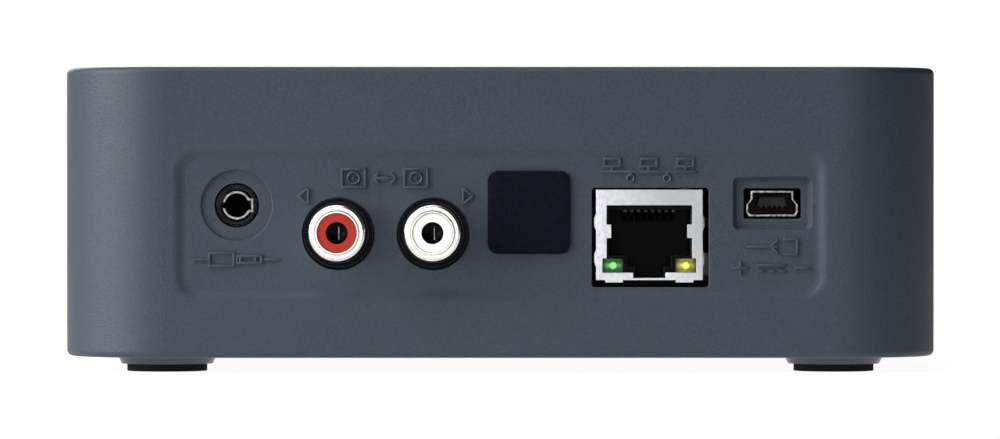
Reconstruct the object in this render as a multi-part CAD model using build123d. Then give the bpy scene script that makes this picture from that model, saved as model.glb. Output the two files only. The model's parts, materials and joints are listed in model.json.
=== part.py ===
from build123d import *
import os

# A small network music streamer: a square plastic case on four feet, with its sockets in a
# recess of the rear wall. Lengths are in millimetres. +Z is up, the user's front faces -Y and
# the sockets face +Y. The origin is on the surface that the feet stand on, below the middle
# of the whole object, from the front button's face to the ends of the line sockets.

# Case
case_width = 130.0
case_depth = 130.0
shell_height = 43.0
corner_radius = 15.0
wall = 2.2
roof = 2.4
edge_round = 0.9

# Clearances and overruns shared by all pieces
overrun = 2.0
fit_gap = 0.05
slide_gap = 0.2
assembly_gap = 0.3
board_gap = 1.0

# Bottom cover and feet
cover_thickness = 2.0
cover_recess = 0.4
cover_gap = 0.25
foot_inset = 15.0
foot_height = 1.2
foot_top_radius = 7.6
foot_tip_radius = 6.85
pad_radius = 6.0
pad_thickness = 1.1
pad_round = 0.25
vent_count = 9
vent_rows = 2
vent_width = 2.0
vent_length = 22.0
vent_pitch = 5.0
vent_row_pitch = 34.0

# Case screws and the columns that they bite in
screw_radius = 1.45
screw_length = 11.0
screw_head_radius = 2.6
screw_head_height = 2.0
screw_slot_width = 0.8
screw_slot_depth = 0.9
screw_seat = 1.5
column_radius = 4.0
column_bore_depth = 13.0

# Recess of the rear wall
panel_margin = 17.0
panel_height = 22.0
panel_rise = 19.7
panel_radius = 3.4
panel_depth = 0.45
panel_slope = 1.2
panel_round = 2.2
port_round = 0.15

# Boards
board_thickness = 1.6
board_side_gap = 4.8
main_board_rise = 11.5
main_board_clear = 2.6
upper_board_rise = 20.9
post_inset_x = 25.0
post_inset_y = 27.0
post_radius = 3.5
spacer_flats = 5.0
stud_radius = 1.4
stud_length = 6.5
small_screw_radius = 1.15
small_screw_length = 5.0
small_head_radius = 2.3
small_head_height = 1.5
small_head_round = 0.5
thread_depth = 6.0

# Auxiliary output, a 3.5 mm jack
aux_edge = 9.06
aux_axis_rise = 1.64
aux_dish_radius = 5.25
aux_dish_depth = 0.5
aux_hole_gap = 0.3
aux_nose_radius = 3.0
aux_nose_inset = 0.15
aux_bore_radius = 1.8
aux_ring_thickness = 0.27
aux_ring_length = 3.0
aux_ring_proud = 0.12
aux_key_reach = 0.62
aux_key_width = 2.0
aux_split_width = 0.93
aux_groove_radius = 2.72
aux_groove_width = 0.12
aux_groove_depth = 0.15
aux_body_width = 6.4
aux_body_height = 5.0
aux_bore_depth = 14.0
aux_back_wall = 0.6
aux_wing_width = 1.0
aux_wing_thickness = 0.8
aux_wing_length = 8.0
aux_spring_thickness = 0.25
aux_spring_height = 1.1
aux_spring_length = 5.0
aux_spring_setback = 5.5
aux_spring_gap = 0.15

# Line output, a pair of phono sockets
line_to_aux = 22.0
line_pitch = 14.0
line_axis_rise = 7.0
line_hole_gap = 0.25
line_hole_drop = 0.18
collar_radius = 5.1
collar_step_radius = 4.45
collar_step = 0.3
collar_inset = 0.35
sleeve_radius = 4.15
sleeve_wall = 1.2
sleeve_shoulder = 0.3
sleeve_reach = 8.0
sleeve_seat = 6.0
sleeve_round = 0.35
sleeve_groove_radius = 3.3
sleeve_groove_width = 0.14
sleeve_groove_depth = 0.2
insert_inset = 0.15
insert_face = 1.0
insert_round = 0.15
line_pin_radius = 1.63
contact_wall = 0.4
contact_length = 9.0
contact_split = 0.35
line_block_width = 27.0
line_block_depth = 10.0
line_block_height = 13.0

# Unused window and the pad over it
blank_to_network = 17.77
blank_rise = 21.48
blank_width = 12.2
blank_height = 12.3
blank_radius = 1.8
blank_thickness = 0.8
blank_round = 0.25
window_width = 9.6
window_height = 9.6
window_radius = 1.0

# Network socket
network_to_dc = 18.16
network_width = 15.74
network_height = 13.38
network_depth = 16.2
network_inset = 0.25
network_gap_sides = 0.75
network_gap_shift = 0.15
network_gap_top = 0.25
network_gap_bottom = 1.05
network_hole_radius = 0.5
shield_sheet = 0.3
shield_band_top = 2.33
shield_band_side = 1.57
shield_band_bottom = 1.1
latch_opening_width = 4.77
lens_width = 3.1
lens_height = 2.1
lens_side = 0.95
lens_depth = 4.0
lens_setback = 0.2
lens_bulge_radius = 0.63
lens_bulge = 0.2
cavity_width = 12.05
cavity_drop = 3.0
cavity_height = 6.8
cavity_depth = 13.0
latch_step_width = 6.45
latch_step_height = 1.64
latch_slot_width = 4.3
latch_slot_height = 1.52
wire_count = 8
wire_pitch = 1.02
wire_width = 0.46
wire_thickness = 0.35
wire_setback = 1.6
wire_drop = 1.75
comb_depth = 4.0
ground_tab_height = 2.0
ground_tab_rise = 6.2
ground_tab_depth = 4.0
ground_tab_gap = 0.1
bump_height = 2.6
bump_reach = 0.3
bump_setback = 0.6
bump_length = 3.0
bump_taper = 0.7
bump_rise = 3.2
bump_pitch = 5.3
foot_tab_width = 2.6
foot_tab_reach = 0.35
foot_tab_offset = 5.2
foot_tab_length = 1.2

# Power inlet, a mini-B socket
dc_edge = 7.85
dc_width = 7.6
dc_height = 3.8
dc_sheet = 0.28
dc_depth = 8.5
dc_inset = 0.2
dc_neck_share = 0.83
dc_flare_top_share = 0.67
dc_flare_bottom_share = 0.45
dc_foot_height_share = 0.15
dc_foot_width_share = 0.9
dc_gap_sides = 0.45
dc_gap_ends = 0.37
dc_hole_radius = 0.4
dc_pocket_width = 11.65
dc_pocket_height = 7.9
dc_pocket_radius = 1.0
dc_pocket_depth = 1.0
dc_pocket_slope = 0.6
tongue_width = 4.5
tongue_height = 1.3
tongue_rise = 1.55
tongue_top_share = 0.8
tongue_inset = 1.3
tongue_base = 3.0
dc_wire_count = 5
dc_wire_pitch = 0.8
dc_wire_width = 0.4
dc_wire_height = 0.18

# Front button, its switch, the lights and their board
button_inset = 35.0
button_radius = 4.0
button_travel = 0.5
button_proud = 0.6
button_round = 0.35
flange_margin = 1.2
flange_thickness = 0.8
button_post_radius = 1.5
guide_wall = 1.0
guide_length = 2.0
switch_size = 6.0
switch_lid = 0.8
switch_floor = 0.5
switch_well_gap = 0.25
switch_dome_space = 1.15
plunger_radius = 1.75
plunger_proud = 1.0
plunger_flange_margin = 0.5
plunger_flange = 0.5
front_board_setback = 6.0
front_board_thickness = 1.2
front_board_height = 13.0
front_board_margin = 4.0
front_post_radius = 2.2
front_post_clear = 5.0
front_screw_radius = 0.75
front_screw_length = 4.0
front_head_radius = 1.9
front_head_height = 1.2
front_head_round = 0.4
light_count = 3
light_pitch = 6.0
light_radius = 1.0
light_bar_height = 4.0
light_bar_thickness = 1.2
light_bar_margin = 1.4
led_width = 1.6
led_height = 0.8
led_depth = 0.8
cable_width = 8.0
cable_thickness = 0.3
cable_rise = 1.0
socket_width = 10.0
socket_height = 2.5
socket_depth = 3.0

# Parts on the boards, all at their usual package sizes
header_inset = 8.0
header_columns = 2
header_rows = 8
header_pitch = 2.0
header_socket_height = 5.3
header_pin = 0.5
header_pin_hole = 0.8
header_pin_length = 3.5
chip_size = 15.0
chip_height = 1.4
chip_shift = 6.0
thermal_pad_thickness = 0.5
heatsink_size = 22.0
heatsink_base = 1.5
heatsink_height = 5.2
fin_count = 7
fin_thickness = 0.8
memory_width = 8.0
memory_length = 12.5
memory_height = 1.0
memory_pitch = 14.0
memory_reach = 24.0
converter_size = 9.0
converter_height = 1.4
converter_reach = 20.5
line_cap_count = 4
line_cap_radius = 2.5
line_cap_height = 5.4
line_cap_pitch = 7.0
line_cap_reach = 10.5
relay_width = 14.0
relay_length = 9.0
relay_height = 5.0
relay_inset = 18.0
relay_reach = 34.5
transformer_width = 12.7
transformer_length = 9.5
transformer_height = 6.0
transformer_reach = 14.1
crystal_width = 11.4
crystal_length = 4.7
crystal_height = 3.5
crystal_pitch = 14.0
crystal_shift = 5.01
crystal_reach = 16.0
inductor_size = 7.0
inductor_height = 4.2
inductor_round_share = 1 / 6
inductor_well_radius = 2.6
inductor_well_depth = 2.1
inductor_core_radius = 1.3
inductor_pitch = 10.0
inductor_shift = 3.85
inductor_reach = 36.85
bulk_cap_radius = 4.0
bulk_cap_height = 9.0
bulk_cap_pitch = 11.0
bulk_cap_shift = 12.15
bulk_cap_reach = 30.85
can_round_share = 1 / 6
radio_width = 25.0
radio_length = 18.0
radio_thickness = 0.8
radio_setback = 19.0
radio_can_width = 18.0
radio_can_height = 2.2
radio_can_sheet = 0.2
radio_can_setback = 1.0
radio_plug_size = 2.2
radio_plug_height = 1.6
antenna_length = 28.0
antenna_height = 7.0
antenna_thickness = 0.8
antenna_rise = 29.7
antenna_shift = 6.0
lead_radius = 0.55
lead_low_share = 0.55
lead_high_share = 0.8
lead_bend = 6.0

# Places along the depth, and the levels, that follow from the sizes above
mid_y = (button_proud - (sleeve_reach - panel_depth)) / 2
rear_y = mid_y + case_depth / 2
front_y = mid_y - case_depth / 2
floor_y = rear_y - panel_depth
inner_rear_y = rear_y - wall
inner_front_y = front_y + wall
socket_y = inner_rear_y - assembly_gap
inner_x = case_width / 2 - wall
shell_z = foot_height + pad_thickness
top_z = shell_z + shell_height
mid_z = shell_z + shell_height / 2
cover_bottom_z = shell_z + cover_recess
cover_top_z = cover_bottom_z + cover_thickness
screw_seat_z = cover_top_z - screw_seat
main_top_z = shell_z + main_board_rise
main_bottom_z = main_top_z - board_thickness
upper_top_z = shell_z + upper_board_rise
upper_bottom_z = upper_top_z - board_thickness

# Feet, posts and board edges
foot_x = case_width / 2 - foot_inset
foot_y = case_depth / 2 - foot_inset
foot_places = {
    "front_left": (-foot_x, mid_y - foot_y),
    "front_right": (foot_x, mid_y - foot_y),
    "rear_left": (-foot_x, mid_y + foot_y),
    "rear_right": (foot_x, mid_y + foot_y),
}
post_x = case_width / 2 - post_inset_x
post_y = case_depth / 2 - post_inset_y
post_places = [(x, mid_y + y) for x in (-post_x, post_x) for y in (-post_y, post_y)]
column_clear = column_radius + board_gap
board_half_x = inner_x - board_side_gap
board_rear_y = inner_rear_y - board_gap
upper_front_y = mid_y - foot_y + column_clear

# Sockets, each placed along the recess from the one beside it
panel_width = case_width - 2 * panel_margin
aux_x = panel_width / 2 - aux_edge
line_x = aux_x - line_to_aux
dc_x = dc_edge - panel_width / 2
network_x = dc_x + network_to_dc
blank_x = network_x + blank_to_network
line_z = main_top_z + line_axis_rise
line_left_x = line_x - line_pitch / 2
line_right_x = line_x + line_pitch / 2
line_hole_z = line_z - line_hole_drop
line_hole_radius = collar_radius + line_hole_gap
line_back_y = socket_y - line_block_depth
sleeve_back_y = socket_y - sleeve_seat
sleeve_shoulder_y = floor_y - collar_inset + collar_step
sleeve_front_y = floor_y + sleeve_reach
insert_front_y = sleeve_front_y - insert_inset
aux_z = upper_top_z + aux_axis_rise
aux_hole_radius = aux_nose_radius + aux_hole_gap
aux_dish_y = floor_y - aux_dish_depth
aux_nose_y = aux_dish_y - aux_nose_inset
aux_bore_end_y = aux_nose_y - aux_bore_depth
aux_back_y = aux_bore_end_y - aux_back_wall
blank_z = shell_z + blank_rise
network_z = main_top_z
network_top_z = network_z + network_height
network_front_y = floor_y - network_inset
network_back_y = network_front_y - network_depth
network_hole_x = network_x - network_gap_shift
network_hole_z = network_z + (network_height + network_gap_top - network_gap_bottom) / 2
network_hole_width = network_width + 2 * network_gap_sides
network_hole_height = network_height + network_gap_top + network_gap_bottom
cavity_top_z = network_top_z - cavity_drop
cavity_bottom_z = cavity_top_z - cavity_height
cavity_back_y = network_front_y - cavity_depth
lens_offset = network_width / 2 - lens_side - lens_width / 2
lens_low_z = network_z + shield_band_bottom
lens_high_z = lens_low_z + lens_height
wire_xs = [network_x + (i - (wire_count - 1) / 2) * wire_pitch for i in range(wire_count)]
dc_z = upper_top_z + dc_height / 2
dc_front_y = floor_y - dc_pocket_depth - dc_inset
dc_back_y = dc_front_y - dc_depth

# Front
button_x = case_width / 2 - button_inset
flange_radius = button_radius + flange_margin
guide_radius = flange_radius + slide_gap
guide_edge = guide_radius + guide_wall
light_x = button_x - guide_edge - slide_gap - light_bar_margin
light_xs = [light_x - light_pitch * i for i in range(light_count)]
front_post_xs = [light_xs[-1] - front_post_clear, button_x + guide_edge + front_post_clear]
front_board_y = inner_front_y + front_board_setback
front_board_back_y = front_board_y + front_board_thickness
main_front_y = front_board_back_y + main_board_clear
switch_depth = switch_lid + fit_gap + plunger_flange + button_travel + switch_dome_space + switch_floor
switch_front_y = front_board_y - switch_depth
plunger_tip_y = switch_front_y - plunger_proud

# Parts on the boards
header_x = header_inset - board_half_x
chip_y = mid_y + chip_shift
memory_y = chip_y - memory_reach
line_cap_y = line_back_y - line_cap_reach
converter_y = line_back_y - converter_reach
relay_x = board_half_x - relay_inset
relay_y = line_back_y - relay_reach
transformer_y = network_back_y - transformer_reach
crystal_x = network_x - crystal_shift
crystal_y = transformer_y - crystal_reach
inductor_x = dc_x - inductor_shift
inductor_y = dc_back_y - inductor_reach
bulk_cap_x = dc_x + bulk_cap_shift
bulk_cap_y = dc_back_y - bulk_cap_reach
radio_y = upper_front_y + radio_setback
antenna_y = radio_y + antenna_shift


def about(middle, size):
    """The two ends of a length that lies about its middle."""
    return middle - size / 2, middle + size / 2


def block(x_ends, y_ends, z_ends):
    """A plain block between two ends along each axis, which may be given in either order."""
    lows, highs = zip(*(sorted(ends) for ends in (x_ends, y_ends, z_ends)))
    sizes = [high - low for low, high in zip(lows, highs)]
    middle = [(low + high) / 2 for low, high in zip(lows, highs)]
    return Pos(*middle) * Box(*sizes)


def seated(x, y, z, width, length, height):
    """A block that stands on the level z, centred over x and y."""
    return block(about(x, width), about(y, length), (z, z + height))


def rod_z(radius, x, y, z_ends):
    """An upright cylinder."""
    low, high = sorted(z_ends)
    return Pos(x, y, (low + high) / 2) * Cylinder(radius, high - low)


def rod_y(radius, x, z, y_ends):
    """A cylinder along Y."""
    low, high = sorted(y_ends)
    return Pos(x, (low + high) / 2, z) * Rot(90, 0, 0) * Cylinder(radius, high - low)


def ring_y(outer, inner, x, z, y_ends):
    """A ring whose axis runs along Y."""
    low, high = sorted(y_ends)
    return rod_y(outer, x, z, y_ends) - rod_y(inner, x, z, (low - overrun, high + overrun))


def rear_plane(y):
    """A drawing plane at y, with X to the right and Z up, whose depth runs to -Y."""
    return Plane(origin=(0, y, 0), x_dir=(1, 0, 0), z_dir=(0, -1, 0))


def rear_block(x, z, width, height, radius, y_ends):
    """A block along Y with rounded corners in the XZ plane."""
    low, high = sorted(y_ends)
    outline = Pos(x, z) * RectangleRounded(width, height, radius)
    return extrude(rear_plane(high) * outline, amount=high - low)


def soft_pocket(x, z, width, height, radius, y, depth, slope):
    """A pocket with sloping sides, cut from the face at y."""
    flare = slope * overrun / depth
    mouth = RectangleRounded(width + 2 * flare, height + 2 * flare, radius + flare)
    floor = RectangleRounded(width - 2 * slope, height - 2 * slope, radius - slope)
    sections = [rear_plane(y + overrun) * Pos(x, z) * mouth, rear_plane(y - depth) * Pos(x, z) * floor]
    return loft(sections, ruled=True)


def rear_edges(shape, y, x, z, width, height):
    """The edges in the plane at y that lie within a rectangle about x and z."""
    edges = shape.edges().filter_by_position(Axis.Y, y - fit_gap, y + fit_gap)
    edges = edges.filter_by_position(Axis.X, *about(x, width + 2 * fit_gap))
    return edges.filter_by_position(Axis.Z, *about(z, height + 2 * fit_gap))


def group(solids):
    """Loose pieces that belong to one node."""
    return Compound([piece for item in solids for piece in item.solids()])


def make_top_shell():
    """Roof and four walls in one moulding, open below, with the rear recess and its port holes."""
    plan = Pos(0, mid_y, shell_z) * RectangleRounded(case_width, case_depth, corner_radius)
    shell = extrude(plan, amount=shell_height)
    shell = fillet(shell.faces().filter_by(Axis.Z).edges(), edge_round)
    inner_plan = RectangleRounded(case_width - 2 * wall, case_depth - 2 * wall, corner_radius - wall)
    shell -= extrude(Pos(0, mid_y, shell_z - overrun) * inner_plan, amount=shell_height - roof + overrun)
    panel = (0, shell_z + panel_rise, panel_width, panel_height)
    shell -= soft_pocket(*panel, panel_radius, rear_y, panel_depth, panel_slope)
    shell = fillet(rear_edges(shell, rear_y, *panel) + rear_edges(shell, floor_y, *panel), panel_round)
    for x, y in foot_places.values():
        shell += rod_z(column_radius, x, y, (cover_top_z, top_z - roof))
        shell -= rod_z(screw_radius + fit_gap, x, y, (cover_top_z, cover_top_z + column_bore_depth))
    guide_ends = (inner_front_y, inner_front_y + guide_length)
    shell += ring_y(guide_edge, guide_radius, button_x, mid_z, guide_ends)
    for x in front_post_xs:
        shell += rod_y(front_post_radius, x, mid_z, (inner_front_y, front_board_y))
        shell -= rod_y(front_screw_radius + fit_gap, x, mid_z, (inner_front_y, front_board_y))
    return cut_front_holes(cut_ports(shell))


def cut_ports(shell):
    """The holes of the rear wall, each with a soft edge."""
    through = (inner_rear_y - overrun, rear_y + overrun)
    shell -= rod_y(aux_dish_radius, aux_x, aux_z, (aux_dish_y, rear_y + overrun))
    shell -= rod_y(aux_hole_radius, aux_x, aux_z, through)
    for x in (line_left_x, line_right_x):
        shell -= rod_y(line_hole_radius, x, line_hole_z, through)
    shell -= rear_block(blank_x, blank_z, window_width, window_height, window_radius, through)
    network_hole = (network_hole_x, network_hole_z, network_hole_width, network_hole_height)
    shell -= rear_block(*network_hole, network_hole_radius, through)
    dc_pocket = (dc_x, dc_z, dc_pocket_width, dc_pocket_height)
    shell -= soft_pocket(*dc_pocket, dc_pocket_radius, floor_y, dc_pocket_depth, dc_pocket_slope)
    dc_hole = (dc_x, dc_z, dc_width + 2 * dc_gap_sides, dc_height + 2 * dc_gap_ends)
    shell -= rear_block(*dc_hole, dc_hole_radius, through)
    edges = rear_edges(shell, floor_y, aux_x, aux_z, 2 * aux_dish_radius, 2 * aux_dish_radius)
    for x in (line_left_x, line_right_x):
        edges += rear_edges(shell, floor_y, x, line_hole_z, 2 * line_hole_radius, 2 * line_hole_radius)
    edges += rear_edges(shell, floor_y, *network_hole)
    edges += rear_edges(shell, floor_y, *dc_pocket)
    return fillet(edges, port_round)


def cut_front_holes(shell):
    """The holes of the button and the lights in the front wall."""
    through = (front_y - overrun, inner_front_y + overrun)
    shell -= rod_y(button_radius + slide_gap, button_x, mid_z, through)
    for x in light_xs:
        shell -= rod_y(light_radius + fit_gap, x, mid_z, through)
    return shell


def make_bottom_cover():
    """Plate that closes the case, with vents, board posts and the four foot cones."""
    inset = wall + cover_gap
    plan = RectangleRounded(case_width - 2 * inset, case_depth - 2 * inset, corner_radius - inset)
    cover = extrude(Pos(0, mid_y, cover_bottom_z) * plan, amount=cover_thickness)
    cone_height = cover_bottom_z - pad_thickness
    for x, y in foot_places.values():
        cone = Cone(foot_tip_radius, foot_top_radius, cone_height)
        cover += Pos(x, y, pad_thickness + cone_height / 2) * cone
        cover -= rod_z(screw_head_radius + assembly_gap, x, y, (pad_thickness - overrun, screw_seat_z))
        cover -= rod_z(screw_radius + slide_gap, x, y, (screw_seat_z - overrun, cover_top_z + overrun))
    for x, y in post_places:
        cover += rod_z(post_radius, x, y, (cover_top_z, main_bottom_z))
        cover -= rod_z(stud_radius + fit_gap, x, y, (main_bottom_z - thread_depth, main_bottom_z + overrun))
    for row in range(vent_rows):
        y = mid_y + (row - (vent_rows - 1) / 2) * vent_row_pitch
        for column in range(vent_count):
            x = (column - (vent_count - 1) / 2) * vent_pitch
            slot = Pos(x, y, cover_bottom_z - overrun) * SlotOverall(vent_length, vent_width, rotation=90)
            cover -= extrude(slot, amount=cover_thickness + 2 * overrun)
    return cover


def make_foot_pad(x, y):
    """Rubber disc on the tip of a foot cone."""
    pad = rod_z(pad_radius, x, y, (0, pad_thickness))
    return fillet(pad.edges().sort_by(Axis.Z)[0], pad_round)


def make_case_screw(x, y):
    """Slotted case screw, whose head sits in the foot cone and is hidden by the pad."""
    head_z = screw_seat_z - screw_head_height
    screw = rod_z(screw_head_radius, x, y, (head_z, screw_seat_z))
    screw += rod_z(screw_radius, x, y, (screw_seat_z, screw_seat_z + screw_length))
    slot_ends = (head_z - overrun, head_z + screw_slot_depth)
    return screw - block(about(x, 2 * (screw_head_radius + overrun)), about(y, screw_slot_width), slot_ends)


def make_blanking_pad():
    """Foam square that covers the unused window."""
    face_y = floor_y + blank_thickness
    pad = rear_block(blank_x, blank_z, blank_width, blank_height, blank_radius, (floor_y, face_y))
    return fillet(pad.faces().sort_by(Axis.Y)[-1].edges(), blank_round)


def board_blank(z, front, corner_front):
    """Board between the side walls, with its corners cut back from the screw columns."""
    z_ends = (z, z + board_thickness)
    cut_ends = (z - overrun, z + board_thickness + overrun)
    board = block((-board_half_x, board_half_x), (front, board_rear_y), z_ends)
    for side in (-1, 1):
        x_ends = (side * (foot_x - column_clear), side * (board_half_x + overrun))
        board -= block(x_ends, (mid_y + foot_y - column_clear, board_rear_y + overrun), cut_ends)
        if corner_front > front:
            board -= block(x_ends, (front - overrun, corner_front), cut_ends)
    return board


def make_main_board():
    """Lower circuit board, which carries the line and network sockets."""
    board = board_blank(main_bottom_z, main_front_y, mid_y - foot_y + column_clear)
    for x, y in post_places:
        board -= rod_z(stud_radius + slide_gap, x, y, (main_bottom_z - overrun, main_top_z + overrun))
    return board


def make_upper_board():
    """Upper circuit board, U-shaped, whose two arms carry the auxiliary jack and the power inlet."""
    board = board_blank(upper_bottom_z, upper_front_y, upper_front_y)
    cut_ends = (upper_bottom_z - overrun, upper_top_z + overrun)
    low_x = network_x - network_width / 2 - bump_reach - board_gap
    high_x = line_x + line_block_width / 2 + board_gap
    notch_y = min(network_back_y, line_back_y) - board_gap
    board -= block((low_x, high_x), (notch_y, board_rear_y + overrun), cut_ends)
    slot_width = aux_body_width + 2 * slide_gap
    board -= block(about(aux_x, slot_width), (aux_back_y - slide_gap, board_rear_y + overrun), cut_ends)
    for x, y in post_places:
        board -= rod_z(small_screw_radius + slide_gap, x, y, cut_ends)
    return board


def make_spacer(x, y):
    """Hexagonal brass spacer between the boards, with a stud below and a thread above."""
    hexagon = RegularPolygon(spacer_flats / 2, 6, major_radius=False)
    spacer = extrude(Pos(x, y, main_top_z) * hexagon, amount=upper_bottom_z - main_top_z)
    spacer += rod_z(stud_radius, x, y, (main_top_z - stud_length, main_top_z))
    bore_ends = (upper_bottom_z - thread_depth, upper_bottom_z + overrun)
    return spacer - rod_z(small_screw_radius + fit_gap, x, y, bore_ends)


def make_board_screw(x, y):
    """Pan-head screw that holds the upper board on its spacer."""
    head = rod_z(small_head_radius, x, y, (upper_top_z, upper_top_z + small_head_height))
    head = fillet(head.edges().sort_by(Axis.Z)[-1], small_head_round)
    return head + rod_z(small_screw_radius, x, y, (upper_top_z - small_screw_length, upper_top_z))


def header_places():
    """Where the pins of the board-to-board header stand."""
    columns = [header_x + (i - (header_columns - 1) / 2) * header_pitch for i in range(header_columns)]
    rows = [mid_y + (j - (header_rows - 1) / 2) * header_pitch for j in range(header_rows)]
    return [(x, y) for x in columns for y in rows]


def header_block(z_ends):
    """The plastic strip of either half of the header."""
    width, length = header_columns * header_pitch, header_rows * header_pitch
    return block(about(header_x, width), about(mid_y, length), z_ends)


def make_header_socket():
    """Socket strip on the lower board."""
    top = main_top_z + header_socket_height
    socket = header_block((main_top_z, top))
    depth = header_pin_length + assembly_gap
    for x, y in header_places():
        socket -= seated(x, y, top - depth, header_pin_hole, header_pin_hole, depth + overrun)
    return socket


def make_header_plug():
    """Pin strip under the upper board, whose pins stand in the socket strip."""
    socket_top = main_top_z + header_socket_height
    plug = header_block((socket_top, upper_bottom_z))
    for x, y in header_places():
        plug += seated(x, y, socket_top - header_pin_length, header_pin, header_pin, header_pin_length)
    return plug


def make_line_block():
    """Black body of the line output, with a stepped collar round each socket."""
    z_ends = (main_top_z, main_top_z + line_block_height)
    body = block(about(line_x, line_block_width), (line_back_y, socket_y), z_ends)
    collar_y = floor_y - collar_inset
    for x in (line_left_x, line_right_x):
        body += rod_y(collar_radius, x, line_z, (socket_y, collar_y))
        body += rod_y(collar_step_radius, x, line_z, (collar_y, sleeve_shoulder_y))
        neck = sleeve_radius - sleeve_shoulder + fit_gap
        body -= rod_y(neck, x, line_z, (sleeve_back_y, rear_y + overrun))
    return body


def make_line_sleeve(x):
    """Nickel-plated tube that a phono plug's shell grips, with a rolled lip and a crimp groove."""
    tube = rod_y(sleeve_radius, x, line_z, (sleeve_shoulder_y, sleeve_front_y))
    tube = fillet(tube.edges().sort_by(Axis.Y)[-1], sleeve_round)
    tube += rod_y(sleeve_radius - sleeve_shoulder, x, line_z, (sleeve_back_y, sleeve_shoulder_y))
    bore_ends = (sleeve_back_y - overrun, sleeve_front_y + overrun)
    tube -= rod_y(sleeve_radius - sleeve_wall, x, line_z, bore_ends)
    groove_inner = sleeve_groove_radius - sleeve_groove_width
    groove_ends = (sleeve_front_y - sleeve_groove_depth, sleeve_front_y + overrun)
    return tube - ring_y(sleeve_groove_radius, groove_inner, x, line_z, groove_ends)


def make_line_insert(x):
    """Coloured insulator inside the tube, with the hole for the plug's pin."""
    insert = rod_y(sleeve_radius - sleeve_wall - fit_gap, x, line_z, (sleeve_back_y, insert_front_y))
    insert = fillet(insert.edges().sort_by(Axis.Y)[-1], insert_round)
    face_back_y = insert_front_y - insert_face
    insert -= rod_y(line_pin_radius, x, line_z, (face_back_y - overrun, insert_front_y + overrun))
    well = line_pin_radius + contact_wall + fit_gap
    return insert - rod_y(well, x, line_z, (face_back_y - contact_length, face_back_y))


def make_line_contact(x):
    """Split spring tube that grips the plug's pin."""
    front = insert_front_y - insert_face
    outer = line_pin_radius + contact_wall
    tube = ring_y(outer, line_pin_radius, x, line_z, (front - contact_length, front))
    slit_ends = (front - contact_length / 2, front + overrun)
    return tube - block(about(x, contact_split), slit_ends, (line_z, line_z + outer + overrun))


def aux_ring_shape(gap, y_ends):
    """The round sleeve and its square key, grown by gap, as one solid without its bore."""
    key_end = aux_x - aux_bore_radius - aux_key_reach - gap
    key = block((key_end, aux_x), y_ends, about(aux_z, aux_key_width + 2 * gap))
    return key + rod_y(aux_bore_radius + aux_ring_thickness + gap, aux_x, aux_z, y_ends)


def make_aux_body():
    """Black body of the 3.5 mm jack: a ringed nose in the case hole, and wings on the upper board."""
    y_ends = (aux_back_y, socket_y)
    body = block(about(aux_x, aux_body_width), y_ends, about(aux_z, aux_body_height))
    body += rod_y(aux_nose_radius, aux_x, aux_z, (socket_y, aux_nose_y))
    wing_z = (upper_top_z, upper_top_z + aux_wing_thickness)
    wing_span = aux_body_width + 2 * aux_wing_width
    body += block(about(aux_x, wing_span), (aux_back_y, aux_back_y + aux_wing_length), wing_z)
    groove_ends = (aux_nose_y - aux_groove_depth, aux_nose_y + overrun)
    body -= ring_y(aux_groove_radius, aux_groove_radius - aux_groove_width, aux_x, aux_z, groove_ends)
    body -= rod_y(aux_bore_radius, aux_x, aux_z, (aux_bore_end_y, aux_nose_y + overrun))
    body -= aux_ring_shape(fit_gap, (aux_nose_y - aux_ring_length, aux_nose_y + overrun))
    slot_y = aux_nose_y - aux_spring_setback
    slot_ends = (slot_y - aux_spring_length - fit_gap, slot_y + fit_gap)
    slot_half = aux_bore_radius + aux_spring_gap + aux_spring_thickness + fit_gap
    slot_z = about(aux_z, aux_spring_height + 2 * fit_gap)
    return body - block(about(aux_x, 2 * slot_half), slot_ends, slot_z)


def make_aux_sleeve():
    """Bright split sleeve at the jack's mouth, with a square key on one side and a gap on the other."""
    y_ends = (aux_nose_y - aux_ring_length, aux_nose_y + aux_ring_proud)
    cut_ends = (y_ends[0] - overrun, y_ends[1] + overrun)
    sleeve = aux_ring_shape(0, y_ends) - rod_y(aux_bore_radius, aux_x, aux_z, cut_ends)
    key_end = aux_x - aux_bore_radius - aux_key_reach + aux_ring_thickness
    sleeve -= block((key_end, aux_x), cut_ends, about(aux_z, aux_key_width - 2 * aux_ring_thickness))
    split_end = aux_x + aux_bore_radius + aux_ring_thickness + overrun
    return sleeve - block((aux_x, split_end), cut_ends, about(aux_z, aux_split_width))


def make_aux_contacts():
    """Contact springs, one each side of the bore."""
    y = aux_nose_y - aux_spring_setback
    inner = aux_bore_radius + aux_spring_gap
    springs = []
    for side in (-1, 1):
        x_ends = (aux_x + side * inner, aux_x + side * (inner + aux_spring_thickness))
        springs.append(block(x_ends, (y - aux_spring_length, y), about(aux_z, aux_spring_height)))
    return group(springs)


def shield_opening(y_ends):
    """The cut-out in the shield's face: plug mouth, lens band and latch slot."""
    mouth_width = network_width - 2 * shield_band_side
    mouth = block(about(network_x, mouth_width), y_ends, (lens_high_z, network_top_z - shield_band_top))
    band = block(about(network_x, 2 * lens_offset + lens_width), y_ends, (lens_low_z, lens_high_z))
    slot = block(about(network_x, latch_opening_width), y_ends, (network_z + shield_sheet, lens_low_z))
    return mouth + band + slot


def side_bump(side, z):
    """Bowed spring finger on the side of the shield that grounds it to a metal panel."""
    face = network_x + side * network_width / 2
    tip = face + side * bump_reach
    half = bump_height / 2
    points = [(face, z - half), (tip, z - half + bump_taper), (tip, z + half - bump_taper), (face, z + half)]
    plane = rear_plane(network_front_y - bump_setback)
    return extrude(plane * make_face(Polyline(*points, close=True)), amount=bump_length)


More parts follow.
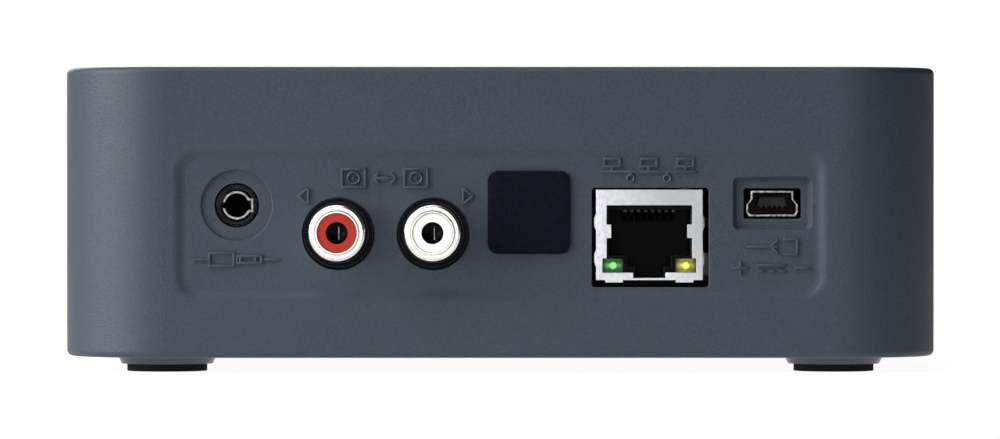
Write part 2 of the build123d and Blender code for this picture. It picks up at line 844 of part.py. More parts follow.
def make_network_shield():
    """Folded steel shield with its front face, grounding tabs and spring fingers."""
    front = network_front_y
    shield = block(about(network_x, network_width), (network_back_y, front), (network_z, network_top_z))
    inner_y = (network_back_y + shield_sheet, front - shield_sheet)
    inner_z = (network_z - overrun, network_top_z - shield_sheet)
    shield -= block(about(network_x, network_width - 2 * shield_sheet), inner_y, inner_z)
    shield -= shield_opening((front - shield_sheet - fit_gap, front + overrun))
    tab_z = (network_z + ground_tab_rise, network_z + ground_tab_rise + ground_tab_height)
    tab_inner = cavity_width / 2 - ground_tab_gap - shield_sheet
    for side in (-1, 1):
        inner_x = network_x + side * tab_inner
        mouth_x = network_x + side * (network_width / 2 - shield_band_side)
        shield += block((inner_x, mouth_x), (front - shield_sheet, front), tab_z)
        shield += block((inner_x, inner_x + side * shield_sheet), (front - ground_tab_depth, front), tab_z)
        for rise in (bump_rise, bump_rise + bump_pitch):
            shield += side_bump(side, network_z + rise)
        tab_x = network_x + side * foot_tab_offset
        foot_y_ends = (front - foot_tab_length, front)
        shield += block(about(tab_x, foot_tab_width), foot_y_ends, (network_z - foot_tab_reach, network_z))
    return shield


def make_network_housing():
    """Black insulator inside the shield, with the stepped plug cavity and the comb between the wires."""
    skin = shield_sheet + fit_gap
    front = network_front_y - skin
    y_ends = (network_back_y + skin, front)
    housing = block(about(network_x, network_width - 2 * skin), y_ends, (network_z, network_top_z - skin))
    step_z = cavity_bottom_z - latch_step_height
    steps = [
        (cavity_width, (cavity_bottom_z, cavity_top_z)),
        (latch_step_width, (step_z, cavity_bottom_z)),
        (latch_slot_width, (step_z - latch_slot_height, step_z)),
    ]
    for step_width, z_ends in steps:
        housing -= block(about(network_x, step_width), (cavity_back_y, network_front_y + overrun), z_ends)
    comb_width = (wire_pitch - wire_width) / 2
    comb_y = (cavity_back_y, cavity_back_y + comb_depth)
    comb_z = (cavity_top_z - wire_drop, cavity_top_z)
    for x in wire_xs[1:]:
        housing += block(about(x - wire_pitch / 2, comb_width), comb_y, comb_z)
    lens_y = (front - lens_depth - fit_gap, network_front_y + overrun)
    lens_z = (lens_low_z - fit_gap, lens_high_z + fit_gap)
    for side in (-1, 1):
        housing -= block(about(network_x + side * lens_offset, lens_width + 2 * fit_gap), lens_y, lens_z)
    return housing


def make_network_contacts():
    """Eight gold-plated wires that slope down from the cavity's ceiling to its back wall."""
    start, low = network_front_y - wire_setback, cavity_top_z - wire_drop
    points = [
        (start, cavity_top_z),
        (start, cavity_top_z - wire_thickness),
        (cavity_back_y, low),
        (cavity_back_y, low + wire_thickness),
    ]
    side_view = make_face(Polyline(*points, close=True))
    wires = []
    for x in wire_xs:
        plane = Plane(origin=(x - wire_width / 2, 0, 0), x_dir=(0, 1, 0), z_dir=(1, 0, 0))
        wires.append(extrude(plane * side_view, amount=wire_width))
    return group(wires)


def make_link_lens(side):
    """Tinted lens of a link light, with the round bulge of its lamp."""
    x = network_x + side * lens_offset
    face = network_front_y - lens_setback
    back = network_front_y - shield_sheet - fit_gap - lens_depth
    z_ends = (lens_low_z + fit_gap, lens_high_z - fit_gap)
    lens = block(about(x, lens_width - 2 * fit_gap), (back, face), z_ends)
    return lens + rod_y(lens_bulge_radius, x, (lens_low_z + lens_high_z) / 2, (face, face + lens_bulge))


def dc_outline(inset):
    """The inlet's outline about its centre, drawn in by inset: narrow above, flared below."""
    half, tall = dc_width / 2 - inset, dc_height / 2 - inset
    neck = dc_width / 2 * dc_neck_share - inset
    foot = dc_width / 2 * dc_foot_width_share - inset
    foot_top = dc_height * (dc_foot_height_share - 1 / 2)
    flare_bottom = dc_height * (dc_flare_bottom_share - 1 / 2)
    flare_top = dc_height * (dc_flare_top_share - 1 / 2)
    right = [(foot, -tall), (half, foot_top), (half, flare_bottom), (neck, flare_top), (neck, tall)]
    left = [(-x, z) for x, z in reversed(right)]
    return make_face(Polyline(*right, *left, close=True))


def make_dc_shell():
    """Nickel-plated steel shell of the power inlet."""
    plane = rear_plane(dc_front_y) * Pos(dc_x, dc_z)
    outer = extrude(plane * dc_outline(0), amount=dc_depth)
    return outer - extrude(plane * dc_outline(dc_sheet), amount=dc_depth)


def make_dc_tongue():
    """Black base at the back of the inlet and the tongue that the plug slides over."""
    base_plane = rear_plane(dc_back_y + tongue_base) * Pos(dc_x, dc_z)
    base = extrude(base_plane * dc_outline(dc_sheet + fit_gap), amount=tongue_base)
    low = tongue_rise - dc_height / 2
    wide, narrow = tongue_width / 2, tongue_width / 2 * tongue_top_share
    shape = [(-wide, low), (wide, low), (narrow, low + tongue_height), (-narrow, low + tongue_height)]
    tip_plane = rear_plane(dc_front_y - tongue_inset) * Pos(dc_x, dc_z)
    length = dc_depth - tongue_inset - tongue_base
    return base + extrude(tip_plane * make_face(Polyline(*shape, close=True)), amount=length)


def make_dc_contacts():
    """Five contact strips under the tongue."""
    top = dc_z - dc_height / 2 + tongue_rise
    y_ends = (dc_back_y + tongue_base, dc_front_y - tongue_inset)
    xs = [dc_x + (i - (dc_wire_count - 1) / 2) * dc_wire_pitch for i in range(dc_wire_count)]
    return group([block(about(x, dc_wire_width), y_ends, (top - dc_wire_height, top)) for x in xs])


def make_button():
    """Front push button: a round cap, the flange behind the wall and the post on the switch."""
    cap = rod_y(button_radius, button_x, mid_z, (front_y - button_proud, inner_front_y))
    cap = fillet(cap.edges().sort_by(Axis.Y)[0], button_round)
    flange_back = inner_front_y + flange_thickness
    button = cap + rod_y(flange_radius, button_x, mid_z, (inner_front_y, flange_back))
    return button + rod_y(button_post_radius, button_x, mid_z, (flange_back, plunger_tip_y - fit_gap))


def make_switch_body():
    """Square tact switch on the front board."""
    y_ends = (switch_front_y, front_board_y)
    body = block(about(button_x, switch_size), y_ends, about(mid_z, switch_size))
    floor = front_board_y - switch_floor
    body -= rod_y(plunger_radius + fit_gap, button_x, mid_z, (switch_front_y - overrun, floor))
    well_radius = plunger_radius + plunger_flange_margin + switch_well_gap
    return body - rod_y(well_radius, button_x, mid_z, (switch_front_y + switch_lid, floor))


def make_plunger():
    """Round plunger of the switch, with the flange that keeps it in."""
    flange_y = switch_front_y + switch_lid + fit_gap
    stem = rod_y(plunger_radius, button_x, mid_z, (plunger_tip_y, flange_y))
    flange_ends = (flange_y, flange_y + plunger_flange)
    return stem + rod_y(plunger_radius + plunger_flange_margin, button_x, mid_z, flange_ends)


def make_light_pipe():
    """Clear bar behind the front wall, with a stud in each light hole and a leg over each lamp."""
    x_ends = (light_xs[-1] - light_bar_margin, light_xs[0] + light_bar_margin)
    bar_back = inner_front_y + light_bar_thickness
    pipe = block(x_ends, (inner_front_y, bar_back), about(mid_z, light_bar_height))
    for x in light_xs:
        pipe += rod_y(light_radius, x, mid_z, (front_y, inner_front_y))
        pipe += rod_y(light_radius, x, mid_z, (bar_back, front_board_y - led_depth - assembly_gap))
    return pipe


def make_leds():
    """Small lamps on the front board."""
    y_ends = (front_board_y - led_depth, front_board_y)
    return group([block(about(x, led_width), y_ends, about(mid_z, led_height)) for x in light_xs])


def make_front_board():
    """Upright board behind the front wall."""
    x_ends = (front_post_xs[0] - front_board_margin, front_post_xs[1] + front_board_margin)
    board = block(x_ends, (front_board_y, front_board_back_y), about(mid_z, front_board_height))
    through = (front_board_y - overrun, front_board_back_y + overrun)
    for x in front_post_xs:
        board -= rod_y(front_screw_radius + slide_gap, x, mid_z, through)
    return board


def make_front_screw(x):
    """Screw that holds the front board on its post."""
    head = rod_y(front_head_radius, x, mid_z, (front_board_back_y, front_board_back_y + front_head_height))
    head = fillet(head.edges().sort_by(Axis.Y)[-1], front_head_round)
    shank_ends = (front_board_back_y - front_screw_length, front_board_back_y)
    return head + rod_y(front_screw_radius, x, mid_z, shank_ends)


def make_cable_sockets():
    """Sockets at the two ends of the flat cable."""
    sockets = []
    for y in (front_board_back_y, upper_front_y):
        z_ends = (upper_top_z, upper_top_z + socket_height)
        sockets.append(block(about(light_xs[0], socket_width), (y, y + socket_depth), z_ends))
    return group(sockets)


def make_front_cable():
    """Flat cable between the front board and the upper board."""
    z = upper_top_z + cable_rise
    y_ends = (front_board_back_y + socket_depth, upper_front_y)
    return block(about(light_xs[0], cable_width), y_ends, (z, z + cable_thickness))


def make_heatsink():
    """Small finned heatsink on the processor."""
    base_z = main_top_z + chip_height + thermal_pad_thickness
    sink = seated(0, chip_y, base_z, heatsink_size, heatsink_size, heatsink_base)
    pitch = (heatsink_size - fin_thickness) / (fin_count - 1)
    fin_z = (base_z + heatsink_base, base_z + heatsink_height)
    for i in range(fin_count):
        x = (i - (fin_count - 1) / 2) * pitch
        sink += block(about(x, fin_thickness), about(chip_y, heatsink_size), fin_z)
    return sink


def make_capacitor(x, y, z, radius, height):
    """Small aluminium capacitor can with a rounded top."""
    can = rod_z(radius, x, y, (z, z + height))
    return fillet(can.edges().sort_by(Axis.Z)[-1], radius * can_round_share)


def make_line_capacitors():
    """Coupling capacitors in front of the line sockets."""
    xs = [line_x + (i - (line_cap_count - 1) / 2) * line_cap_pitch for i in range(line_cap_count)]
    return group([make_capacitor(x, line_cap_y, main_top_z, line_cap_radius, line_cap_height) for x in xs])


def make_bulk_capacitors():
    """Supply capacitors on the upper board."""
    ys = about(bulk_cap_y, bulk_cap_pitch)
    return group([make_capacitor(bulk_cap_x, y, upper_top_z, bulk_cap_radius, bulk_cap_height) for y in ys])


def make_inductors():
    """Two supply inductors with a round core in a square base."""
    pieces = []
    top = upper_top_z + inductor_height
    well_ends = (top - inductor_well_depth, top)
    for y in about(inductor_y, inductor_pitch):
        base = seated(inductor_x, y, upper_top_z, inductor_size, inductor_size, inductor_height)
        base = fillet(base.edges().filter_by(Axis.Z), inductor_size * inductor_round_share)
        base -= rod_z(inductor_well_radius, inductor_x, y, well_ends)
        pieces.append(base + rod_z(inductor_core_radius, inductor_x, y, well_ends))
    return group(pieces)


def make_crystals():
    """Two clock crystals in round-ended cans."""
    pieces = []
    for x in about(crystal_x, crystal_pitch):
        plan = Pos(x, crystal_y, main_top_z) * SlotOverall(crystal_width, crystal_length)
        pieces.append(extrude(plan, amount=crystal_height))
    return group(pieces)


def make_memory():
    """Two memory chips."""
    size = (memory_width, memory_length, memory_height)
    return group([seated(x, memory_y, main_top_z, *size) for x in about(0, memory_pitch)])


def make_radio_module():
    """Small radio board on the upper board, with an aerial socket at each end."""
    module = seated(0, radio_y, upper_top_z, radio_width, radio_length, radio_thickness)
    plug_z = upper_top_z + radio_thickness
    for x in about(0, radio_width - radio_plug_size):
        module += seated(x, radio_y, plug_z, radio_plug_size, radio_plug_size, radio_plug_height)
    return module


def make_radio_shield():
    """Pressed shield can over the radio chips."""
    z = upper_top_z + radio_thickness
    length = radio_length - 2 * radio_can_setback
    can = seated(0, radio_y, z, radio_can_width, length, radio_can_height)
    inner = (radio_can_width - 2 * radio_can_sheet, length - 2 * radio_can_sheet)
    return can - seated(0, radio_y, z - overrun, *inner, radio_can_height - radio_can_sheet + overrun)


def make_antenna(side):
    """Printed aerial plate stuck to the side wall."""
    x_ends = (side * inner_x, side * (inner_x - antenna_thickness))
    z = shell_z + antenna_rise
    return block(x_ends, about(antenna_y, antenna_length), about(z, antenna_height))


def make_antenna_lead(side):
    """Thin coaxial lead from the radio module to the aerial plate."""
    start_x, end_x = radio_width / 2, inner_x - antenna_thickness
    run = end_x - start_x
    low_z = upper_top_z + radio_thickness + radio_plug_height / 2
    high_z = shell_z + antenna_rise
    route = [
        (side * start_x, radio_y, low_z),
        (side * (start_x + run * lead_low_share), radio_y, low_z),
        (side * (start_x + run * lead_high_share), antenna_y, high_z),
        (side * end_x, antenna_y, high_z),
    ]
    path = FilletPolyline(*route, radius=lead_bend)
    section = Plane(origin=route[0], z_dir=(side, 0, 0)) * Circle(lead_radius)
    return sweep(section, path=path)


def make_nodes():
    """Every named piece of the streamer."""
    nodes = {
        "top_shell": make_top_shell(),
        "bottom_cover": make_bottom_cover(),
        "case_screws": group([make_case_screw(x, y) for x, y in foot_places.values()]),
        "port_blanking_pad": make_blanking_pad(),
        "main_board": make_main_board(),
        "upper_board": make_upper_board(),
        "board_spacers": group([make_spacer(x, y) for x, y in post_places]),
        "upper_board_screws": group([make_board_screw(x, y) for x, y in post_places]),
        "header_socket": make_header_socket(),
        "header_plug": make_header_plug(),
        "line_jack_block": make_line_block(),
        "aux_jack_body": make_aux_body(),
        "aux_jack_sleeve": make_aux_sleeve(),
        "aux_jack_contacts": make_aux_contacts(),
        "network_jack_shield": make_network_shield(),
        "network_jack_housing": make_network_housing(),
        "network_jack_contacts": make_network_contacts(),
        "dc_jack_shell": make_dc_shell(),
        "dc_jack_tongue": make_dc_tongue(),
        "dc_jack_contacts": make_dc_contacts(),
        "connect_button": make_button(),
        "switch_body": make_switch_body(),
        "switch_plunger": make_plunger(),
        "light_pipe": make_light_pipe(),
        "status_leds": make_leds(),
        "front_board": make_front_board(),
        "front_board_screws": group([make_front_screw(x) for x in front_post_xs]),
        "front_cable": make_front_cable(),
        "front_cable_sockets": make_cable_sockets(),
        "heatsink": make_heatsink(),
        "line_capacitors": make_line_capacitors(),
        "crystals": make_crystals(),
        "memory_chips": make_memory(),
        "power_inductors": make_inductors(),
        "bulk_capacitors": make_bulk_capacitors(),
        "radio_module": make_radio_module(),
        "radio_shield": make_radio_shield(),
    }
    for place, (x, y) in foot_places.items():
        nodes[f"foot_pad_{place}"] = make_foot_pad(x, y)
    for name, x in (("right", line_right_x), ("left", line_left_x)):
        nodes[f"line_sleeve_{name}"] = make_line_sleeve(x)
        nodes[f"line_insert_{name}"] = make_line_insert(x)
        nodes[f"line_contact_{name}"] = make_line_contact(x)
    for colour, side in (("green", 1), ("yellow", -1)):
        nodes[f"link_lens_{colour}"] = make_link_lens(side)
    for name, side in (("left", -1), ("right", 1)):
        nodes[f"antenna_{name}"] = make_antenna(side)
        nodes[f"antenna_lead_{name}"] = make_antenna_lead(side)
    transformer_size = (transformer_width, transformer_length, transformer_height)
    plain_parts = {
        "processor": (0, chip_y, chip_size, chip_size, chip_height),
        "audio_converter": (line_x, converter_y, converter_size, converter_size, converter_height),
        "muting_relay": (relay_x, relay_y, relay_width, relay_length, relay_height),
        "network_transformer": (network_x, transformer_y, *transformer_size),
    }
    for name, (x, y, *size) in plain_parts.items():
        nodes[name] = seated(x, y, main_top_z, *size)
    pad_z = main_top_z + chip_height
    nodes["thermal_pad"] = seated(0, chip_y, pad_z, chip_size, chip_size, thermal_pad_thickness)
    return nodes


nodes = make_nodes()
os.makedirs("parts", exist_ok=True)
for name, shape in nodes.items():
    export_step(shape, f"parts/{name}.step")
    print(f"{name}: {len(shape.solids())} solid(s), {shape.volume:.1f} mm3")
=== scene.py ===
# %% [markdown]
# # A network music streamer, seen from its connection side
#
# The object is a low square box of dark grey moulded plastic. Its rear wall has a shallow recess
# with an audio jack, two phono sockets, a covered spare window, a network socket and a small
# power inlet. Its shape comes from a CAD model, so this lesson is about what CAD leaves out:
# finishes, softened edges, small raised marks, and light.
#
# The CAD model is loaded first. Each of its parts is already in place, in metres, with +Z up and
# the sockets facing +Y, and it stays where it is.

# %% Load the CAD model
import json
import math
import bpy
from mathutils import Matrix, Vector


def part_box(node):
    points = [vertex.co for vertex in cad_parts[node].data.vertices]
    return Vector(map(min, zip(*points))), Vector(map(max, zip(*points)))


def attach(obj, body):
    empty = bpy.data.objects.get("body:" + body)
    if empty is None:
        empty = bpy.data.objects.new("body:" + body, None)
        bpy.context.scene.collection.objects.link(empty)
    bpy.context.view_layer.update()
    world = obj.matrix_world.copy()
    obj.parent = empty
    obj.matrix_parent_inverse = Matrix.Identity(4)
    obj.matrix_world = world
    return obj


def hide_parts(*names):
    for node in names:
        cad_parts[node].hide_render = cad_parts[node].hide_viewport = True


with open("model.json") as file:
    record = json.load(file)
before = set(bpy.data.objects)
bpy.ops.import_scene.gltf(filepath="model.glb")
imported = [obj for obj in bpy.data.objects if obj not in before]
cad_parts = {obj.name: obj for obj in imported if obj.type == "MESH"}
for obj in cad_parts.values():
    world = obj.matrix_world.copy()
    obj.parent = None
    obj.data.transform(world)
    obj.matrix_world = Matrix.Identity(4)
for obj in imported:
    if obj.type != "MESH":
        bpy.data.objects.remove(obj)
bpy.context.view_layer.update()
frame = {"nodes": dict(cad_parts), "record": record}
nodes = frame["nodes"]
bpy.context.scene.view_settings.view_transform = "Standard"

# %% [markdown]
# Lengths read best in millimetres, and Blender wants metres, so one function turns the first into
# the second. Colours are picked as sRGB hex values, as on a screen, and the renderer wants linear
# light, so another function turns those.

# %% Units and colours
def mm(value):
    """Millimetres as metres."""
    return value / 1000


def paint(code):
    """An sRGB hex colour as linear red, green, blue and alpha."""
    parts = [int(code[i:i + 2], 16) / 255 for i in (1, 3, 5)]
    linear = [c / 12.92 if c <= 0.04045 else ((c + 0.055) / 1.055) ** 2.4 for c in parts]
    return (*linear, 1.0)


print("a mid grey, #808080, is", round(paint("#808080")[0], 3), "in linear light")

# %% [markdown]
# A long lens far from the object keeps the sides of the box almost parallel, as in a catalogue
# picture. The camera stands 850 mm from the rear wall, a little above mid-height, and looks down
# by a third of a degree. That is what bows the top and bottom edges at the rounded corners. The
# lens follows from how many picture dots show one millimetre of that wall.

# %% Camera
rear_wall_y = 61.525
camera_distance, camera_height, camera_tilt = 850, 27.84, 0.343
dots_per_mm, picture_width = 6.78, 1000
camera_data = bpy.data.cameras.new("catalogue_camera")
camera_data.sensor_width = 36.0
camera_data.lens = dots_per_mm * camera_distance / picture_width * camera_data.sensor_width
camera_data.clip_end = 20.0
camera = bpy.data.objects.new("catalogue_camera", camera_data)
camera.location = (mm(0.06), mm(rear_wall_y + camera_distance), mm(camera_height))
camera.rotation_euler = (math.radians(90 - camera_tilt), 0, math.radians(180))
bpy.context.scene.collection.objects.link(camera)
bpy.context.scene.camera = camera
print("lens", round(camera_data.lens, 1), "mm at", [round(c, 3) for c in camera.location], "m")

# %% [markdown]
# The light is a product photographer's. One large soft lamp, the key, stands far out on the left of
# the picture: it wraps round the left corner, skims the rear wall and leaves the right corner dark.
# A wide lamp high in front of the rear wall grazes it from above, which draws the raised marks. A
# weak one in front opens the shadows, and a low strip near the floor reaches under the box to the
# feet. Plated metal shows what stands in front of it, so a dim card hangs beside the lens: it
# hardly lights anything, but the sockets' rims mirror it. The lamp on the far side is there for the
# other views. A large lamp close by is what makes a shadow's edge soft.

# %% Lamps
lamp_target = (0, 0, mm(22))


def soft_lamp(name, place, wide, high, watts):
    """An area lamp at place, wide by high metres, turned towards the middle of the object."""
    data = bpy.data.lights.new(name, "AREA")
    data.shape = "RECTANGLE"
    data.size, data.size_y = wide, high
    data.energy = watts
    lamp = bpy.data.objects.new(name, data)
    lamp.location = place
    aim = [t - p for t, p in zip(lamp_target, place)]
    lamp.rotation_euler = (math.atan2(math.hypot(aim[0], aim[1]), -aim[2]), 0,
                           math.atan2(aim[1], aim[0]) - math.pi / 2)
    bpy.context.scene.collection.objects.link(lamp)
    print(name, watts, "W,", wide, "by", high, "m")


soft_lamp("key_lamp", (0.98, 0.38, 0.44), 0.8, 0.7, 17.4)
soft_lamp("front_lamp", (0.6, 1.0, 1.0), 0.8, 0.8, 1.2)
soft_lamp("low_strip", (0.9, 1.0, 0.03), 0.9, 0.06, 3.9)
soft_lamp("white_card", (0.14, 1.7, 0.14), 0.5, 0.34, 1.4)
soft_lamp("ceiling_lamp", (0.3, 0.5, 1.35), 1.3, 0.7, 10.4)
soft_lamp("far_side_lamp", (0.25, -1.5, 0.6), 0.9, 0.9, 11.0)

# %% [markdown]
# Materials and the background are made of nodes. One small function adds a node with its settings
# and its links, so that a finish reads as a short list. Two more use it for what comes up most:
# fading one colour into another, and turning one range of a value into another.

# %% Node helpers
def add_node(tree, kind, sockets=None, **settings):
    """Adds a node: settings go on the node, and sockets gives its inputs a value or a link."""
    made = tree.nodes.new(kind)
    for name, value in settings.items():
        setattr(made, name, value)
    for name, value in (sockets or {}).items():
        if isinstance(value, bpy.types.NodeSocket):
            tree.links.new(value, made.inputs[name])
        else:
            made.inputs[name].default_value = value
    return made


def fade(tree, amount, first, second):
    """A colour that runs from first to second while amount runs from 0 to 1."""
    return add_node(tree, "ShaderNodeMix", {0: amount, 6: first, 7: second},
                    data_type="RGBA").outputs[2]


def ramp(tree, value, start, end, low=0.0, high=1.0, **settings):
    """A value that runs from low to high while another runs from start to end."""
    return add_node(tree, "ShaderNodeMapRange", {"Value": value, "From Min": start, "From Max": end,
                    "To Min": low, "To Max": high}, **settings).outputs[0]


# %% [markdown]
# The background is white, but a white world would also flood the object with light. Light Path
# tells the rays apart: the camera sees white, mirror-like reflections and glass see a pale studio,
# and the rays that light matt surfaces see only the dim room. Polished metal shows all that stands
# round it, so the studio is brighter on the key lamp's side, which is +X, and behind the object.

# %% Background
room_light = 0.014
world = bpy.data.worlds.new("studio")
bpy.context.scene.world = world
world.use_nodes = True
tree = world.node_tree
tree.nodes.clear()
way = add_node(tree, "ShaderNodeSeparateXYZ",
               {0: add_node(tree, "ShaderNodeTexCoord").outputs["Generated"]})
side = ramp(tree, way.outputs["X"], -0.3, 0.9, 0.02, 0.55, interpolation_type="SMOOTHSTEP")
behind = ramp(tree, way.outputs["Y"], -0.6, -1.0, 0.0, 0.03)
studio = add_node(tree, "ShaderNodeMath", {0: side, 1: behind}, operation="ADD")
path = add_node(tree, "ShaderNodeLightPath")
mirror = add_node(tree, "ShaderNodeMath", {0: path.outputs["Is Glossy Ray"],
                  1: path.outputs["Is Transmission Ray"]}, operation="MAXIMUM")
ambient = add_node(tree, "ShaderNodeMix", {0: mirror.outputs[0], 2: room_light,
                   3: studio.outputs[0]}).outputs[0]
shown = add_node(tree, "ShaderNodeMix", {0: path.outputs["Is Camera Ray"], 2: ambient, 3: 1.0})
white = add_node(tree, "ShaderNodeBackground", {"Color": (1, 1, 1, 1),
                 "Strength": shown.outputs[0]})
add_node(tree, "ShaderNodeOutputWorld", {"Surface": white.outputs[0]})
print("world nodes:", len(tree.nodes))

# %% [markdown]
# The floor is a wide white sheet on a light table. Its glow near the object reaches the cones of
# the feet from below, as nothing else can, and it keeps a soft shadow near the feet. Further out
# the camera sees it as plain white, so that it meets the background with no line, and reflections
# see it dimmer, as bright as paper is in this light, or the whole case would wear a milky sheen.

# %% Floor
table_glow = 0.5
bpy.ops.object.select_all(action="DESELECT")
bpy.ops.mesh.primitive_plane_add(size=16.0)
floor = bpy.context.active_object
floor.name = "studio_floor"
paper = bpy.data.materials.new("white_paper_sweep")
paper.use_nodes = True
tree = paper.node_tree
tree.nodes.clear()
spot = add_node(tree, "ShaderNodeTexCoord").outputs["Object"]
reach = add_node(tree, "ShaderNodeVectorMath", {0: spot}, operation="LENGTH").outputs["Value"]
near = ramp(tree, reach, 0.1, 0.3, 1.0, 0.0, interpolation_type="SMOOTHSTEP")
paper_side = add_node(tree, "ShaderNodeBsdfDiffuse", {"Color": paint("#c8c8c8")})
under_glow = add_node(tree, "ShaderNodeMath", {0: near, 1: table_glow}, operation="MULTIPLY")
under_light = add_node(tree, "ShaderNodeEmission", {"Strength": under_glow.outputs[0]})
sheet = add_node(tree, "ShaderNodeAddShader", {0: paper_side.outputs[0],
                 1: under_light.outputs[0]})
faint = add_node(tree, "ShaderNodeBsdfDiffuse", {"Color": paint("#8a8a8a")})
path = add_node(tree, "ShaderNodeLightPath")
near_lit = add_node(tree, "ShaderNodeMix", {0: path.outputs["Is Camera Ray"], 2: 0.75, 3: 0.94})
glow = add_node(tree, "ShaderNodeEmission", {"Strength": near_lit.outputs[0]})
shaded = add_node(tree, "ShaderNodeAddShader", {0: faint.outputs[0], 1: glow.outputs[0]})
far_lit = add_node(tree, "ShaderNodeMix", {0: path.outputs["Is Camera Ray"], 2: 0.55, 3: 1.0})
blank = add_node(tree, "ShaderNodeEmission", {"Strength": far_lit.outputs[0]})
seen = add_node(tree, "ShaderNodeMixShader", {0: near, 1: blank.outputs[0], 2: shaded.outputs[0]})
mirror = add_node(tree, "ShaderNodeMath", {0: path.outputs["Is Glossy Ray"],
                  1: path.outputs["Is Transmission Ray"]}, operation="MAXIMUM")
direct = add_node(tree, "ShaderNodeMath", {0: mirror.outputs[0],
                  1: path.outputs["Is Camera Ray"]}, operation="MAXIMUM")
both = add_node(tree, "ShaderNodeMixShader", {0: direct.outputs[0], 1: sheet.outputs[0],
                2: seen.outputs[0]})
add_node(tree, "ShaderNodeOutputMaterial", {"Surface": both.outputs[0]})
floor.data.materials.append(paper)
print("floor", floor.dimensions[0], "m wide")

# %% [markdown]
# ## Finishes
#
# Each finish starts from what the real one is made of and how its surface was made. They all read
# Object coordinates, which are metres in the object's own space, so a pattern's scale can be worked
# out from a real size: a pattern whose bumps are 0.5 mm across has a scale of 1 / 0.0005.
#
# Most surfaces share three things: a base colour that drifts a little, a gloss that isn't quite
# even, and a fine relief. The next function gives a material these, at sizes in millimetres. A
# real tool texture is often finer than a picture's dots, and is then drawn as coarse as it needs
# to show.

# %% Finish helper
looks = {}


def finish(slot, name, light, dark, roughness, grain, relief, metallic=0.0, ior=1.5, uneven=0.06):
    """A material for a slot of the CAD record. Its colour runs between two hex values in grains
    of that size in mm, and its relief is relief mm deep. Returns the nodes that others build on."""
    made = bpy.data.materials.new(name)
    made.use_nodes = True
    tree = made.node_tree
    shader = tree.nodes["Principled BSDF"]
    shader.inputs["Metallic"].default_value = metallic
    if metallic == 0.0:
        shader.inputs["IOR"].default_value = ior
    place = add_node(tree, "ShaderNodeTexCoord").outputs["Object"]
    speck = add_node(tree, "ShaderNodeTexNoise", {"Vector": place, "Scale": 1 / mm(grain),
                     "Detail": 3.0, "Roughness": 0.55}).outputs["Fac"]
    colour = fade(tree, ramp(tree, speck, 0.35, 0.65), paint(dark), paint(light))
    tree.links.new(colour, shader.inputs["Base Color"])
    cloud = add_node(tree, "ShaderNodeTexNoise", {"Vector": place, "Scale": 1 / mm(grain * 25),
                     "Detail": 2.0}).outputs["Fac"]
    gloss = ramp(tree, cloud, 0.3, 0.7, roughness - uneven, roughness + uneven)
    tree.links.new(gloss, shader.inputs["Roughness"])
    bump = add_node(tree, "ShaderNodeBump", {"Height": speck, "Distance": mm(relief),
                    "Strength": 1.0})
    tree.links.new(bump.outputs[0], shader.inputs["Normal"])
    looks[slot] = made
    print("finish", name, "for", slot, "with a grain of", grain, "mm")
    return {"material": made, "tree": tree, "shader": shader, "place": place, "colour": colour,
            "cloud": cloud, "bump": bump}


# %% [markdown]
# ### The case: spark-eroded ABS
#
# The two halves of the case are injection-moulded ABS, from a steel tool whose surface was pitted
# by spark erosion. The plastic copies the pits, so it looks matt and faintly speckled, with a
# broad soft sheen where it turns towards the lamp. A second, finer noise gives that sheen to the
# rims between the pits and takes it from their floors, which breaks it into small glints. The
# edges that hands rub most lose their grain first. The Bevel node finds them: where its rounded
# normal leaves the true one, the colour lightens. The bottom cover comes from a polished tool, and
# the cones of its feet mirror the white sheet in front of them.

# %% Case plastic
case = finish("case_plastic", "spark_textured_abs", "#353f49", "#2d3640", 0.46, 0.24, 0.06,
              uneven=0.03)
tree = case["tree"]
fine = add_node(tree, "ShaderNodeTexNoise", {"Vector": case["place"], "Scale": 1 / mm(0.16),
                "Detail": 1.0}).outputs["Fac"]
grain = add_node(tree, "ShaderNodeBump", {"Height": fine, "Distance": mm(0.05), "Strength": 1.0,
                 "Normal": case["bump"].outputs[0]})
tree.links.new(grain.outputs[0], case["shader"].inputs["Normal"])
tree.links.new(ramp(tree, fine, 0.35, 0.65, 0.28, 0.42),
               case["shader"].inputs["Specular IOR Level"])


# Pales a finish's sharp edges: real edge wear on the case, a painted highlight on black plastic.
def wear_and_highlight_edges(look, radius, pale, most):
    """Lightens a finish along its sharp edges, radius mm wide, towards a hex value."""
    tree = look["tree"]
    rounded = add_node(tree, "ShaderNodeBevel", {"Radius": mm(radius)}, samples=4)
    true = add_node(tree, "ShaderNodeNewGeometry")
    match = add_node(tree, "ShaderNodeVectorMath", {0: rounded.outputs[0],
                     1: true.outputs["Normal"]}, operation="DOT_PRODUCT")
    edge_share = ramp(tree, match.outputs["Value"], 0.97, 0.75, 0.0, most)
    patchy = add_node(tree, "ShaderNodeMath", {0: edge_share, 1: look["cloud"]}, operation="MULTIPLY")
    pale_edge = fade(tree, patchy.outputs[0], look["colour"], paint(pale))
    tree.links.new(pale_edge, look["shader"].inputs["Base Color"])
    print("edge wear over", radius, "mm on", look["material"].name)


wear_and_highlight_edges(case, 0.25, "#5c6671", 0.45)
cover = finish("cover_plastic", "polished_dark_abs", "#343f4b", "#2c3641", 0.2, 0.24, 0.002,
               uneven=0.03)
cover["shader"].inputs["Specular IOR Level"].default_value = 1.0
cover["shader"].inputs["Specular Tint"].default_value = paint("#dbe6f4")

# %% [markdown]
# ### Soft parts: rubber feet and a foam cover
#
# The feet are pressed from black rubber. It is dull, a little dusty and faintly pebbled. The
# spare window is closed by a die-cut pad of closed-cell foam, darker still: its cells are tiny
# open cups where the cut went through them, so Voronoi cells give it its relief.

